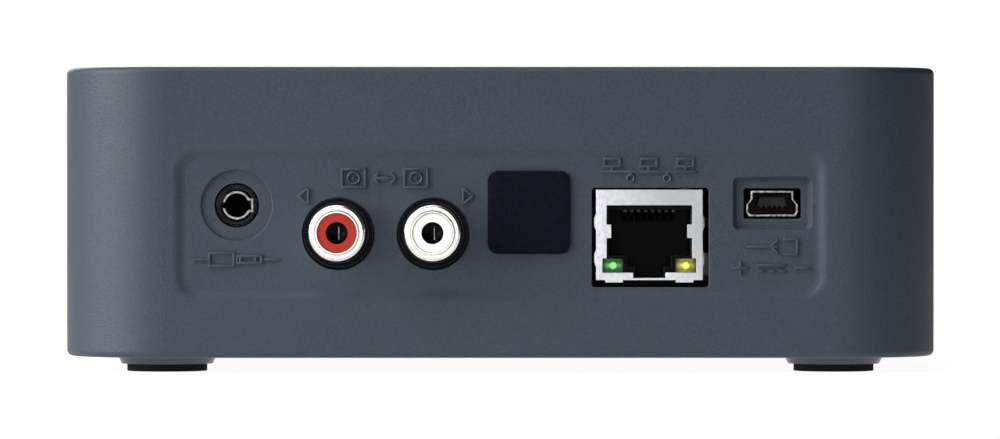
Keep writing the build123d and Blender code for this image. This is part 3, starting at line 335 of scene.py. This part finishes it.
# %% Rubber and foam
rubber = finish("foot_rubber", "pressed_foot_rubber", "#15161b", "#0a0b0e", 0.85, 0.4, 0.03)
rubber["shader"].inputs["Specular IOR Level"].default_value = 0.2
foam = finish("foam_pad", "die_cut_foam", "#0d111c", "#07090f", 0.95, 0.5, 0.02, uneven=0.03)
foam["shader"].inputs["Specular IOR Level"].default_value = 0.1
tree = foam["tree"]
cells = add_node(tree, "ShaderNodeTexVoronoi", {"Vector": foam["place"], "Scale": 1 / mm(0.3)})
cups = add_node(tree, "ShaderNodeBump", {"Height": cells.outputs["Distance"],
                "Distance": mm(0.08), "Strength": 1.0, "Normal": foam["bump"].outputs[0]})
tree.links.new(cups.outputs[0], foam["shader"].inputs["Normal"])
print("foam cells 0.3 mm across")

# %% [markdown]
# ### Black socket plastic
#
# Socket bodies are glass-filled PBT, moulded in a polished tool. It is almost black and glossier
# than the case, with soft flow clouds rather than grain. Its edges are painted grey as a highlight,
# and those thin painted highlight lines are most of what shows of the steps inside the network
# socket. The power inlet's tongue is a greyer nylon, with painted shade that turns it black deeper
# in the socket.

# %% Black plastic
black = finish("black_plastic", "moulded_black_pbt", "#040509", "#020306", 0.24, 0.9, 0.004)
black["shader"].inputs["Specular IOR Level"].default_value = 0.05
# Painted highlight: thin grey lines along the sharp edges of the black plastic.
wear_and_highlight_edges(black, 0.1, "#6a6d73", 1.6)
nylon = finish("tongue_nylon", "grey_tongue_nylon", "#2b2c31", "#1e1f23", 0.4, 0.6, 0.004)
nylon["shader"].inputs["Specular IOR Level"].default_value = 0.15
tree = nylon["tree"]
tongue_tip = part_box("dc_jack_tongue")[1][1]
# Painted shade: the tongue darkens to black deeper in the socket, away from its tip.
along = add_node(tree, "ShaderNodeSeparateXYZ", {0: nylon["place"]})
unshaded_share = ramp(tree, along.outputs["Y"], tongue_tip - mm(2.5), tongue_tip - mm(0.5))
tongue_with_painted_shade = fade(tree, unshaded_share, paint("#030405"), nylon["colour"])
tree.links.new(tongue_with_painted_shade, nylon["shader"].inputs["Base Color"])

# %% [markdown]
# ### Plated metals
#
# The phono sockets and the power inlet are nickel plate over turned or pressed brass: bright, a
# little warm, with a slightly cloudy mirror. The network socket's shield is tin plate, which is
# whiter and duller, with a patchy crystal look where the sheet was dipped, and painted shade greys
# it towards the upper corner. Its contacts are gold, painted dark as shade inside the socket. The
# power inlet's shell and the headphone socket's sleeve are pressed from thin sheet, and their ends
# look streaky and greyer. Brass spacers, zinc screws and drawn aluminium cans sit inside.

# %% Plated metals
nickel = finish("nickel", "bright_nickel_plate", "#f1f0ec", "#dcdbd6", 0.2, 0.9, 0.001,
                metallic=1.0, uneven=0.05)
tin = finish("tinned_steel", "satin_tin_plate", "#f4f5f6", "#dddee1", 0.36, 0.8, 0.003,
             metallic=1.0, uneven=0.08)
tree = tin["tree"]
shield_middle = [(a + b) / 2 for a, b in zip(*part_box("network_jack_shield"))]
centred = add_node(tree, "ShaderNodeVectorMath", {0: tin["place"], 1: shield_middle},
                   operation="SUBTRACT")
# Painted shade: the tin greys towards its upper corner.
slope = add_node(tree, "ShaderNodeVectorMath", {0: centred.outputs[0], 1: (-0.75, 0, 0.66)},
                 operation="DOT_PRODUCT")
shade_towards_corner = ramp(tree, slope.outputs["Value"], mm(-3), mm(6), 0.0, 0.75,
            interpolation_type="SMOOTHSTEP")
tin_with_painted_shade = fade(tree, shade_towards_corner, tin["colour"], paint("#bbbdc1"))
tree.links.new(tin_with_painted_shade, tin["shader"].inputs["Base Color"])
pressed = finish("pressed_nickel", "pressed_nickel_shell", "#c4c4c2", "#6f7072", 0.3, 0.5, 0.004,
                 metallic=1.0, uneven=0.08)
for slot, name, light, dark, roughness, grain_size, relief in (
        # The gold is painted dark, as shade inside the network socket.
        ("gold_plate", "thin_gold_plate", "#4a4234", "#342e24", 0.4, 0.5, 0.002),
        ("spacer_brass", "turned_brass", "#dcc083", "#c2a362", 0.3, 0.6, 0.003),
        ("screw_steel", "zinc_plated_steel", "#b9babd", "#9d9fa3", 0.35, 0.5, 0.003),
        ("can_aluminium", "drawn_aluminium_can", "#dcdde0", "#c6c8cc", 0.3, 0.7, 0.002),
        ("heatsink_aluminium", "black_anodised_aluminium", "#5c5c60", "#48484c", 0.42, 0.4, 0.004)):
    finish(slot, name, light, dark, roughness, grain_size, relief, metallic=1.0)

# %% [markdown]
# A lathe leaves fine rings round its axis. On the phono sockets they show as a hair line or two
# on the bright face, and one groove gets a painted dark line as its shade, darker towards the upper
# right. The rings are the distance from the socket's own axis, turned into waves by a sine, so each
# socket needs its own copy of the nickel, with its own middle. Their true spacing is near 0.05 mm,
# and here it is 0.3 mm, so that a picture can show it. The black nose of the headphone socket has
# moulded rings of the same kind, wider apart.

# %% Turned rings on nickel
def turned(look, name, x, z, spacing, depth, groove=None):
    """A copy of a finish with lathe rings round an axis along Y through x and z, in mm. A groove
    gets a painted shade line at that radius, darker towards the upper right."""
    made = look["material"].copy()
    made.name = name
    tree = made.node_tree
    place = add_node(tree, "ShaderNodeTexCoord").outputs["Object"]
    centred = add_node(tree, "ShaderNodeVectorMath", {0: place, 1: (mm(x), 0, mm(z))},
                       operation="SUBTRACT")
    flat = add_node(tree, "ShaderNodeVectorMath", {0: centred.outputs[0], 1: (1, 0, 1)},
                    operation="MULTIPLY")
    reach = add_node(tree, "ShaderNodeVectorMath", {0: flat.outputs[0]}, operation="LENGTH")
    turns = add_node(tree, "ShaderNodeMath", {0: reach.outputs["Value"],
                     1: 2 * math.pi / mm(spacing)}, operation="MULTIPLY")
    wave = add_node(tree, "ShaderNodeMath", {0: turns.outputs[0]}, operation="SINE")
    rings = add_node(tree, "ShaderNodeBump", {"Height": wave.outputs[0], "Distance": mm(depth),
                     "Strength": 1.0})
    shader = tree.nodes["Principled BSDF"]
    tree.links.new(shader.inputs["Normal"].links[0].from_socket, rings.inputs["Normal"])
    tree.links.new(rings.outputs[0], shader.inputs["Normal"])
    if groove:
        # Painted shade: a dark line along the groove, darker towards the upper right.
        off = add_node(tree, "ShaderNodeMath", {0: reach.outputs["Value"], 1: mm(groove)},
                       operation="SUBTRACT")
        off = add_node(tree, "ShaderNodeMath", {0: off.outputs[0]}, operation="ABSOLUTE")
        toward_upper_right = add_node(tree, "ShaderNodeVectorMath", {0: flat.outputs[0], 1: (-0.7, 0, 0.7)},
                        operation="DOT_PRODUCT")
        shade_strength = ramp(tree, toward_upper_right.outputs["Value"], mm(-3), mm(3), 0.35, 0.95)
        line = ramp(tree, off.outputs[0], mm(0.16), mm(0.05), 0.0, shade_strength)
        shaded_colour = fade(tree, line, shader.inputs["Base Color"].links[0].from_socket, paint("#4a4c50"))
        tree.links.new(shaded_colour, shader.inputs["Base Color"])
    print(made.name, "rings", spacing, "mm apart round x", x, "z", z)
    return made


socket_x = {side: sum(mid[0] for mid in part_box("line_sleeve_" + side)) / 2 * 1000
            for side in ("right", "left")}
socket_z = sum(mid[2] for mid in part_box("line_sleeve_left")) / 2 * 1000
own_looks = {"dc_jack_shell": pressed["material"], "aux_jack_sleeve": pressed["material"],
             "dc_jack_tongue": nylon["material"], "bottom_cover": cover["material"],
             "aux_jack_body": turned(black, "grooved_black_pbt", 38.94, 24.84, 0.44, 0.05)}
for side in ("right", "left"):
    own_looks["line_sleeve_" + side] = turned(nickel, "turned_nickel_" + side, socket_x[side],
                                              socket_z, 0.3, 0.0012, groove=3.25)

# %% [markdown]
# ### Coloured insulators
#
# The ring inside each phono socket is moulded in its channel's colour, red for right and white for
# left, in a plain satin plastic. Light sinks a little way into it, which subsurface scattering
# gives, and softens the shade where the ring turns into the hole.

# %% Insulators
red = finish("red_plastic", "red_moulded_insulator", "#b02a1b", "#a02316", 0.38, 0.6, 0.004)
ivory = finish("white_plastic", "white_moulded_insulator", "#fcfcf8", "#f4f4ee", 0.4, 0.6, 0.004)
lamp_body = finish("lamp_white", "white_lamp_housing", "#efeee6", "#deddd2", 0.45, 0.5, 0.003)
red["shader"].inputs["Specular IOR Level"].default_value = 0.3
for look in (red, ivory, lamp_body):
    look["shader"].inputs["Subsurface Weight"].default_value = 0.06
    look["shader"].inputs["Subsurface Radius"].default_value = (1.0, 0.7, 0.6)
    look["shader"].inputs["Subsurface Scale"].default_value = mm(0.4)

# %% [markdown]
# ### Link lamps
#
# Two square lenses of tinted epoxy fill the socket's lower corners. Each has a round lamp behind
# its middle, and its light is painted into the colour: a pale glow disc in a greener or more olive
# surround, a painted highlight band across it, and painted shade at the dark ends, where the light
# leaves the lens. The disc is drawn by distance from the lens's middle, and the band and the ends
# by how far up and across a point is. The epoxy stays smooth.

# %% Lens finishes
def lens(slot, name, node, light, dark, disc):
    """An epoxy lens with painted light: a glow disc, a highlight stripe and shaded ends, on a CAD
    part.
    """
    look = finish(slot, name, light, dark, 0.16, 0.5, 0.001, uneven=0.03)
    tree = look["tree"]
    low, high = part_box(node)
    middle = [(a + b) / 2 for a, b in zip(low, high)]
    centred = add_node(tree, "ShaderNodeVectorMath", {0: look["place"], 1: middle},
                       operation="SUBTRACT")
    flat = add_node(tree, "ShaderNodeVectorMath", {0: centred.outputs[0], 1: (1, 0, 1)},
                    operation="MULTIPLY")
    reach = add_node(tree, "ShaderNodeVectorMath", {0: flat.outputs[0]}, operation="LENGTH")
    # Painted light: a glow disc, a highlight band across it and shaded ends.
    glow_edge = ramp(tree, reach.outputs["Value"], mm(0.62), mm(0.42),
                     interpolation_type="SMOOTHSTEP")
    parts = add_node(tree, "ShaderNodeSeparateXYZ", {0: centred.outputs[0]})
    across = add_node(tree, "ShaderNodeMath", {0: parts.outputs["X"]}, operation="ABSOLUTE")
    up = add_node(tree, "ShaderNodeMath", {0: parts.outputs["Z"]}, operation="ABSOLUTE")
    ends = ramp(tree, across.outputs[0], mm(0.7), mm(1.4), 0.0, 0.85)
    band = ramp(tree, up.outputs[0], mm(0.5), mm(0.15), 0.0, 0.45)
    striped = fade(tree, band, look["colour"], paint(disc))
    shaded = fade(tree, ends, striped, paint("#0c120c"))
    lens_with_painted_light = fade(tree, glow_edge, shaded, paint(disc))
    tree.links.new(lens_with_painted_light, look["shader"].inputs["Base Color"])
    look["shader"].inputs["Specular IOR Level"].default_value = 0.2


lens("green_lens", "green_tinted_epoxy", "link_lens_green", "#1d6a2b", "#154f20", "#93dd88")
lens("yellow_lens", "yellow_tinted_epoxy", "link_lens_yellow", "#98932f", "#777322", "#f0ec78")

# %% [markdown]
# ### Circuit boards
#
# A board is glass-epoxy with copper tracks under green solder mask. The mask is glossy, and the
# tracks show through it as paler, slightly raised lanes on a 1.3 mm pitch, which bricks laid on
# their long sides draw well enough. Only cracks of light ever reach these boards, and their rear
# edge is painted a matt black as shade, so that no green shows through the gaps round the sockets.

# %% Circuit board
board = finish("board_green", "green_solder_mask", "#10402a", "#0c3220", 0.3, 0.7, 0.002)
tree = board["tree"]
lanes = add_node(tree, "ShaderNodeTexBrick", {"Vector": board["place"], "Scale": 1 / mm(13.0),
                 "Mortar Size": 0.012, "Brick Width": 0.9, "Row Height": 0.1},
                 offset=0.37, squash=0.7, squash_frequency=3)
track = fade(tree, lanes.outputs["Fac"], board["colour"], paint("#226343"))
raised = add_node(tree, "ShaderNodeBump", {"Height": lanes.outputs["Fac"], "Distance": mm(0.03),
                  "Strength": 1.0, "Normal": board["bump"].outputs[0]})
tree.links.new(raised.outputs[0], board["shader"].inputs["Normal"])
along = add_node(tree, "ShaderNodeSeparateXYZ", {0: board["place"]})
# Painted shade: the board's rear edge is black and dull, so no green shows in the gaps.
painted_shade_edge = ramp(tree, along.outputs["Y"], mm(57.9), mm(58.2))
tree.links.new(fade(tree, painted_shade_edge, track, paint("#060708")), board["shader"].inputs["Base Color"])
tree.links.new(ramp(tree, painted_shade_edge, 0.0, 1.0, 0.3, 0.03),
               board["shader"].inputs["Specular IOR Level"])

# %% [markdown]
# ### The rest of the inside, and the front
#
# The button is the case's ABS, a shade darker and smoother from its own small tool. The light pipe
# is clear polycarbonate, a little cloudy so that it spreads the lamps' light. Chips are dull
# moulded epoxy, ferrite is sintered grit, the thermal pad is soft silicone, the flat cable is
# white film with fine conductors along it, and the antenna leads have a thin black sheath.

# %% Remaining finishes
finish("button_plastic", "fine_textured_abs", "#2b343e", "#262e37", 0.48, 0.3, 0.012)
clear = finish("light_plastic", "clear_polycarbonate", "#eef2f5", "#e2e8ec", 0.22, 0.6, 0.002,
               ior=1.58, uneven=0.05)
clear["shader"].inputs["Transmission Weight"].default_value = 0.75
finish("chip_black", "moulded_chip_epoxy", "#202123", "#17181a", 0.6, 0.25, 0.008)
finish("ferrite", "sintered_ferrite", "#404144", "#313235", 0.7, 0.3, 0.03)
finish("thermal_silicone", "soft_thermal_silicone", "#98a2ae", "#8a94a0", 0.75, 0.5, 0.02)
finish("coax_sheath", "extruded_lead_sheath", "#29292c", "#1d1d20", 0.4, 0.5, 0.005)
finish("relay_plastic", "yellow_relay_housing", "#d9c45c", "#ccb44a", 0.42, 0.5, 0.005)
film = finish("cable_film", "white_flat_cable_film", "#e2e4e8", "#d6d8dd", 0.3, 0.6, 0.002)
tree = film["tree"]
wires = add_node(tree, "ShaderNodeTexWave", {"Vector": film["place"], "Scale": 1 / mm(0.5) / 20},
                 wave_type="BANDS", bands_direction="X")
ribs = add_node(tree, "ShaderNodeBump", {"Height": wires.outputs["Fac"], "Distance": mm(0.05),
                "Strength": 1.0, "Normal": film["bump"].outputs[0]})
tree.links.new(ribs.outputs[0], film["shader"].inputs["Normal"])

# %% [markdown]
# The CAD record says which finish each part takes. A CAD part keeps its mesh and only swaps its
# material. A few have a look of their own: the turned and grooved ones, the pressed sheet, the
# nylon tongue and the polished bottom cover.

# %% Dress the CAD parts
slot_of = {part["node"]: part["material_slot"] for part in frame["record"]["subparts"]}
for name, node in nodes.items():
    node.data.materials.clear()
    node.data.materials.append(own_looks.get(name, looks[slot_of[name]]))
print(len(nodes), "parts dressed in", len(set(slot_of.values())), "finishes")

# %% [markdown]
# ## Softened sockets
#
# The network socket's shield and the power inlet's shell are folded sheet metal, and their black
# insides are moulded. No real fold or moulding is knife-sharp: each edge catches a thin bright
# line of light, and without it metal looks like paper. So a copy of each part is merged into a
# closed mesh, its edges are rounded by a few hundredths of a millimetre, and it stands in for
# the CAD part.

# %% Eased copies
def only(piece):
    """Makes one object the only selected one."""
    bpy.ops.object.select_all(action="DESELECT")
    piece.select_set(True)
    bpy.context.view_layer.objects.active = piece


def settle(piece, slot, body="case", look=None):
    """Gives a finished piece its material, chosen by slot unless a look is given, and the body that
    it rides on.
    """
    piece.data.materials.clear()
    piece.data.materials.append(look or looks[slot])
    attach(piece, body)


def eased(name, width):
    """A copy of a CAD part with its sharp edges rounded by width mm, in the CAD part's place."""
    piece = bpy.data.objects.new("eased_" + name, nodes[name].data.copy())
    bpy.context.scene.collection.objects.link(piece)
    only(piece)
    bpy.ops.object.mode_set(mode="EDIT")
    bpy.ops.mesh.select_all(action="SELECT")
    bpy.ops.mesh.remove_doubles(threshold=mm(0.001))
    bpy.ops.mesh.dissolve_limited(angle_limit=math.radians(1.0))
    bpy.ops.mesh.normals_make_consistent(inside=False)
    bpy.ops.object.mode_set(mode="OBJECT")
    ease = piece.modifiers.new("ease", "BEVEL")
    ease.width = mm(width)
    ease.segments = 2
    ease.limit_method = "ANGLE"
    ease.angle_limit = math.radians(40)
    bpy.ops.object.modifier_apply(modifier="ease")
    bpy.ops.object.shade_smooth_by_angle(angle=math.radians(38))
    flat = piece.modifiers.new("flat", "WEIGHTED_NORMAL")
    flat.keep_sharp = True
    bpy.ops.object.modifier_apply(modifier="flat")
    settle(piece, slot_of[name], look=own_looks.get(name))
    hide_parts(name)
    print(piece.name, len(piece.data.polygons), "faces, edges eased by", width, "mm")


eased("network_jack_shield", 0.05)
eased("network_jack_housing", 0.06)
eased("dc_jack_shell", 0.05)
eased("dc_jack_tongue", 0.05)

# %% [markdown]
# ## The foam cover
#
# A pad is stuck over the spare window. It was stamped out of a sheet, so its corners are round,
# its rim is drawn down a little by the cutter, and its face swells gently between. It starts as a
# block, its corners are rounded in edit mode, and its face is then inset and lifted in steps,
# which together stay inside the corners' radius, or the rings would cross there.

# %% Foam pad
def choose(piece, wanted):
    """In edit mode, selects the faces for which wanted(middle in mm, normal) is true."""
    bpy.ops.mesh.select_all(action="DESELECT")
    bpy.ops.object.mode_set(mode="OBJECT")
    for face in piece.data.polygons:
        face.select = bool(wanted(face.center * 1000, face.normal))
    bpy.ops.object.mode_set(mode="EDIT")
    bpy.ops.mesh.select_mode(type="FACE")


pad_corner = 1.6
pad_rings = ((0.12, 0.06), (0.2, 0.04), (0.4, 0.04), (0.6, 0.02))
low, high = [[c * 1000 for c in corner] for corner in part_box("port_blanking_pad")]
high[1] -= sum(lift for step, lift in pad_rings)
bpy.ops.object.select_all(action="DESELECT")
bpy.ops.mesh.primitive_cube_add(size=1.0, location=[mm((a + b) / 2) for a, b in zip(low, high)],
                                scale=[mm(b - a) for a, b in zip(low, high)])
pad = bpy.context.active_object
pad.name = "foam_cover"
bpy.ops.object.transform_apply(location=True, rotation=True, scale=True)
bpy.ops.object.mode_set(mode="EDIT")
bpy.ops.mesh.select_mode(type="EDGE")
bpy.ops.mesh.select_all(action="DESELECT")
bpy.ops.object.mode_set(mode="OBJECT")
for edge in pad.data.edges:
    ends = [pad.data.vertices[i].co for i in edge.vertices]
    edge.select = abs(ends[0].y - ends[1].y) > mm(0.1)
bpy.ops.object.mode_set(mode="EDIT")
bpy.ops.mesh.bevel(offset=mm(pad_corner), segments=10, affect="EDGES")
choose(pad, lambda middle, normal: normal.y > 0.9)
for step, lift in pad_rings:
    bpy.ops.mesh.inset(thickness=mm(step))
    bpy.ops.transform.translate(value=(0, mm(lift), 0))
bpy.ops.object.mode_set(mode="OBJECT")
bpy.ops.object.shade_smooth_by_angle(angle=math.radians(50))
settle(pad, "foam_pad")
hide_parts("port_blanking_pad")
print(pad.name, len(pad.data.polygons), "faces")

# %% [markdown]
# ## Rubber feet
#
# Each foot ends in a rubber disc that keeps the light box from sliding. Its lower rim is rounded,
# and a shallow dish inside the rim leaves a ring that grips. One is modelled from a cylinder at
# the first foot, and the other three are copies, each with its own mesh.

# %% Foot pads
grip_width, dish_wall, dish_depth, dish_ring = 1.3, 0.15, 0.2, 1.5
low, high = [[c * 1000 for c in corner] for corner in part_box("foot_pad_front_left")]
centre = [(a + b) / 2 for a, b in zip(low, high)]
bpy.ops.object.select_all(action="DESELECT")
bpy.ops.mesh.primitive_cylinder_add(vertices=96, radius=mm((high[0] - low[0]) / 2),
                                    depth=mm(high[2] - low[2]), location=[mm(c) for c in centre])
first = bpy.context.active_object
first.name = "rubber_foot_front_left"
bpy.ops.object.transform_apply(location=True, rotation=True, scale=True)
bpy.ops.object.mode_set(mode="EDIT")
choose(first, lambda middle, normal: normal.z < -0.9)
bpy.ops.mesh.inset(thickness=mm(grip_width))
bpy.ops.mesh.inset(thickness=mm(dish_wall))
bpy.ops.transform.translate(value=(0, 0, mm(dish_depth)))
bpy.ops.mesh.inset(thickness=mm(dish_ring))
bpy.ops.object.mode_set(mode="OBJECT")
ease = first.modifiers.new("ease", "BEVEL")
ease.width = mm(0.16)
ease.segments = 3
ease.limit_method = "ANGLE"
ease.angle_limit = math.radians(40)
bpy.ops.object.modifier_apply(modifier="ease")
bpy.ops.object.shade_smooth_by_angle(angle=math.radians(40))
for corner in ("front_left", "front_right", "rear_left", "rear_right"):
    node_low, node_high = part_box("foot_pad_" + corner)
    foot = first
    if corner != "front_left":
        foot = bpy.data.objects.new("rubber_foot_" + corner, first.data.copy())
        bpy.context.scene.collection.objects.link(foot)
        foot.location = [(a + b) / 2 - mm(c) for a, b, c in zip(node_low, node_high, centre)]
        only(foot)
        bpy.ops.object.transform_apply(location=True, rotation=True, scale=True)
    settle(foot, "foot_rubber")
    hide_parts("foot_pad_" + corner)
print("4 rubber feet of", len(first.data.polygons), "faces")

# %% [markdown]
# ## Inside the phono sockets
#
# Behind each coloured ring the hole is black: a plug's pin slides in between two sprung leaves, and
# a black core stands in for the shade deep in the hole. From outside only the core's dark face and
# the lit edge of one leaf show. The core starts as a disc, its face is inset and pushed in as a
# funnel for the pin, and the leaf is a thin block with eased edges. They are modelled for one
# socket and copied to the other.

# %% Socket cores
shade_core_y, shade_core_radius, shade_core_depth = 68.0, 1.72, 0.5
leaf_offset, leaf_size = 0.3, (0.14, 0.4, 2.0)
x, z = socket_x["right"], socket_z
bpy.ops.object.select_all(action="DESELECT")
# Painted shade: a black core fills the hole's depth, where only shade would show.
bpy.ops.mesh.primitive_cylinder_add(vertices=48, radius=mm(shade_core_radius), depth=mm(shade_core_depth),
                                    rotation=(math.pi / 2, 0, 0),
                                    location=(mm(x), mm(shade_core_y), mm(z)))
shade_core = bpy.context.active_object
shade_core.name = "socket_core_right"
bpy.ops.object.transform_apply(location=True, rotation=True, scale=True)
bpy.ops.object.mode_set(mode="EDIT")
choose(shade_core, lambda middle, normal: normal.y > 0.9)
for step, push in ((0.35, 0.05), (0.35, 0.12), (0.25, 0.15)):
    bpy.ops.mesh.inset(thickness=mm(step))
    bpy.ops.transform.translate(value=(0, -mm(push), 0))
bpy.ops.object.mode_set(mode="OBJECT")
bpy.ops.object.shade_smooth_by_angle(angle=math.radians(40))
bpy.ops.object.select_all(action="DESELECT")
bpy.ops.mesh.primitive_cube_add(size=1.0, scale=[mm(c) for c in leaf_size],
                                location=(mm(x - leaf_offset), mm(shade_core_y + 0.05), mm(z)))
leaf = bpy.context.active_object
leaf.name = "contact_leaf_right"
bpy.ops.object.transform_apply(location=True, rotation=True, scale=True)
bpy.ops.object.mode_set(mode="EDIT")
bpy.ops.mesh.select_all(action="SELECT")
bpy.ops.mesh.bevel(offset=mm(0.04), segments=2, affect="EDGES")
bpy.ops.object.mode_set(mode="OBJECT")
bpy.ops.object.shade_smooth_by_angle(angle=math.radians(40))
for piece, slot, look in ((shade_core, "black_plastic", None), (leaf, "nickel", pressed["material"])):
    second = bpy.data.objects.new(piece.name.replace("right", "left"), piece.data.copy())
    bpy.context.scene.collection.objects.link(second)
    second.location = (mm(socket_x["left"] - x), 0, 0)
    only(second)
    bpy.ops.object.transform_apply(location=True, rotation=True, scale=True)
    settle(piece, slot, look=look)
    settle(second, slot, look=look)
print("2 socket cores and 2 leaves")

# %% [markdown]
# ## Raised marks
#
# The mould has shallow grooves cut by a small round-nosed cutter, and the plastic fills them, so
# plain picture marks stand proud by each socket: a jack plug, a pair of loudspeakers, a network
# tree, an arrow into a socket, and the signs for direct current. Each is put together from two
# kinds of stroke. A bar is a block whose front edges are rounded, and a hoop is a flattened ring.
# Both are sunk halfway into the wall, and one mark's strokes are joined into one piece.

# %% Strokes
recess_floor_y = 61.075
stroke = 0.42
rise = 0.4


def bar(x, z, length, turn=0.0):
    """A raised bar with its middle at x and z, length mm from end to end, turned in degrees."""
    bpy.ops.object.select_all(action="DESELECT")
    bpy.ops.mesh.primitive_cube_add(
        size=1.0, location=(mm(x), mm(recess_floor_y), mm(z)), rotation=(0, math.radians(turn), 0),
        scale=(mm(length), mm(2 * rise), mm(stroke)))
    piece = bpy.context.active_object
    bpy.ops.object.transform_apply(location=True, rotation=True, scale=True)
    bpy.ops.object.mode_set(mode="EDIT")
    choose(piece, lambda middle, normal: normal.y > 0.9)
    bpy.ops.mesh.bevel(offset=mm(0.14), segments=3, affect="EDGES")
    bpy.ops.object.mode_set(mode="OBJECT")
    return piece


def hoop(x, z, radius):
    """A raised ring round x and z, of that radius in mm to the middle of its stroke."""
    bpy.ops.object.select_all(action="DESELECT")
    bpy.ops.mesh.primitive_torus_add(
        location=(mm(x), mm(recess_floor_y), mm(z)), rotation=(math.pi / 2, 0, 0),
        major_radius=mm(radius), minor_radius=mm(stroke / 2), major_segments=36, minor_segments=12)
    piece = bpy.context.active_object
    piece.scale = (1, 1, rise / (stroke / 2))
    bpy.ops.object.transform_apply(location=True, rotation=True, scale=True)
    return piece


def box_outline(x, z, wide, high):
    """Four bars round a rectangle, measured between the middles of its strokes."""
    return [bar(x, z + high / 2, wide + stroke), bar(x, z - high / 2, wide + stroke),
            bar(x - wide / 2, z, high, 90), bar(x + wide / 2, z, high, 90)]


def mark(name, strokes):
    """Joins one mark's strokes into a piece of the case."""
    bpy.ops.object.select_all(action="DESELECT")
    for piece in strokes:
        piece.select_set(True)
    bpy.context.view_layer.objects.active = strokes[0]
    bpy.ops.object.join()
    piece = bpy.context.active_object
    piece.name = name
    bpy.ops.object.shade_smooth_by_angle(angle=math.radians(40))
    settle(piece, "case_plastic")
    print(name, len(strokes), "strokes,", len(piece.data.polygons), "faces")


# %% [markdown]
# Seen from outside, the picture's right is the model's -X, so each mark is laid out on offsets to
# the right of its own middle, which are taken away from x.

# %% Jack plug and loudspeakers
x, z = 38.95, 16.85
plug = box_outline(x + 2.2, z, 3.6, 1.9) + box_outline(x - 1.9, z, 3.6, 1.0)
plug += [bar(x + 5.2, z, 2.5), bar(x - 5.2, z, 2.2)]
plug += [bar(x - 0.6, z, 1.0, 90), bar(x - 2.8, z, 1.0, 90)]
mark("mark_jack_plug", plug)

x, z = 17.05, 28.87
speakers = []
for offset in (-4.6, 4.6):
    speakers += box_outline(x - offset, z, 3.4, 2.7)
    speakers += [hoop(x - offset, z, 0.85), bar(x - offset, z, stroke)]
speakers += [bar(x, z, 3.2), bar(x - 1.25, z + 0.42, 1.1, -40), bar(x - 1.25, z - 0.42, 1.1, 40),
             bar(x + 1.25, z + 0.42, 1.1, 40), bar(x + 1.25, z - 0.42, 1.1, -40)]
mark("mark_loudspeakers", speakers)

# %% [markdown]
# A small arrowhead beside each phono socket points to the side of the room that it feeds, and a
# tree of boxes on one line stands for the network.

# %% Channel arrows and network tree
for name, x, away in (("mark_channel_right", 29.1, 1), ("mark_channel_left", 4.73, -1)):
    z = 26.2
    mark(name, [bar(x, z + 0.55, 1.9, 38 * away), bar(x, z - 0.55, 1.9, -38 * away),
                bar(x - 0.75 * away, z, 2.4, 90)])

x, z = -21.9, 29.8
tree_mark = [bar(x, z, 14.2)]
for offset in (-5.4, 0.0, 5.4):
    tree_mark += box_outline(x - offset, z + 1.35, 2.3, 1.1) + [bar(x - offset, z + 0.42, 0.8, 90)]
tree_mark += [hoop(x - 2.7, z - 0.95, 0.5), hoop(x + 2.7, z - 0.95, 0.5),
              bar(x - 2.7, z - 0.25, 0.6, 90), bar(x + 2.7, z - 0.25, 0.6, 90)]
mark("mark_network", tree_mark)

# %% [markdown]
# Below the power inlet, an arrow runs into a socket, and the signs under it are the common ones for
# a direct current: plus, a long line over three short ones, and minus.

# %% Power arrow and current signs
x, z = -40.2, 18.75
arrow = [bar(x + 1.6, z, 4.6), bar(x - 0.25, z + 0.5, 1.5, 42), bar(x - 0.25, z - 0.5, 1.5, -42)]
arrow += [bar(x - 3.6, z, 2.2, 90), bar(x - 2.6, z + 1.1, 2.2), bar(x - 2.6, z - 1.1, 2.2)]
mark("mark_power_arrow", arrow)

x, z = -40.0, 15.6
signs = [bar(x + 4.6, z, 2.2), bar(x + 4.6, z, 2.2, 90), bar(x - 4.6, z, 2.2), bar(x, z + 0.4, 4.2)]
signs += [bar(x + offset, z - 0.45, 0.95) for offset in (-1.6, 0.0, 1.6)]
mark("mark_direct_current", signs)
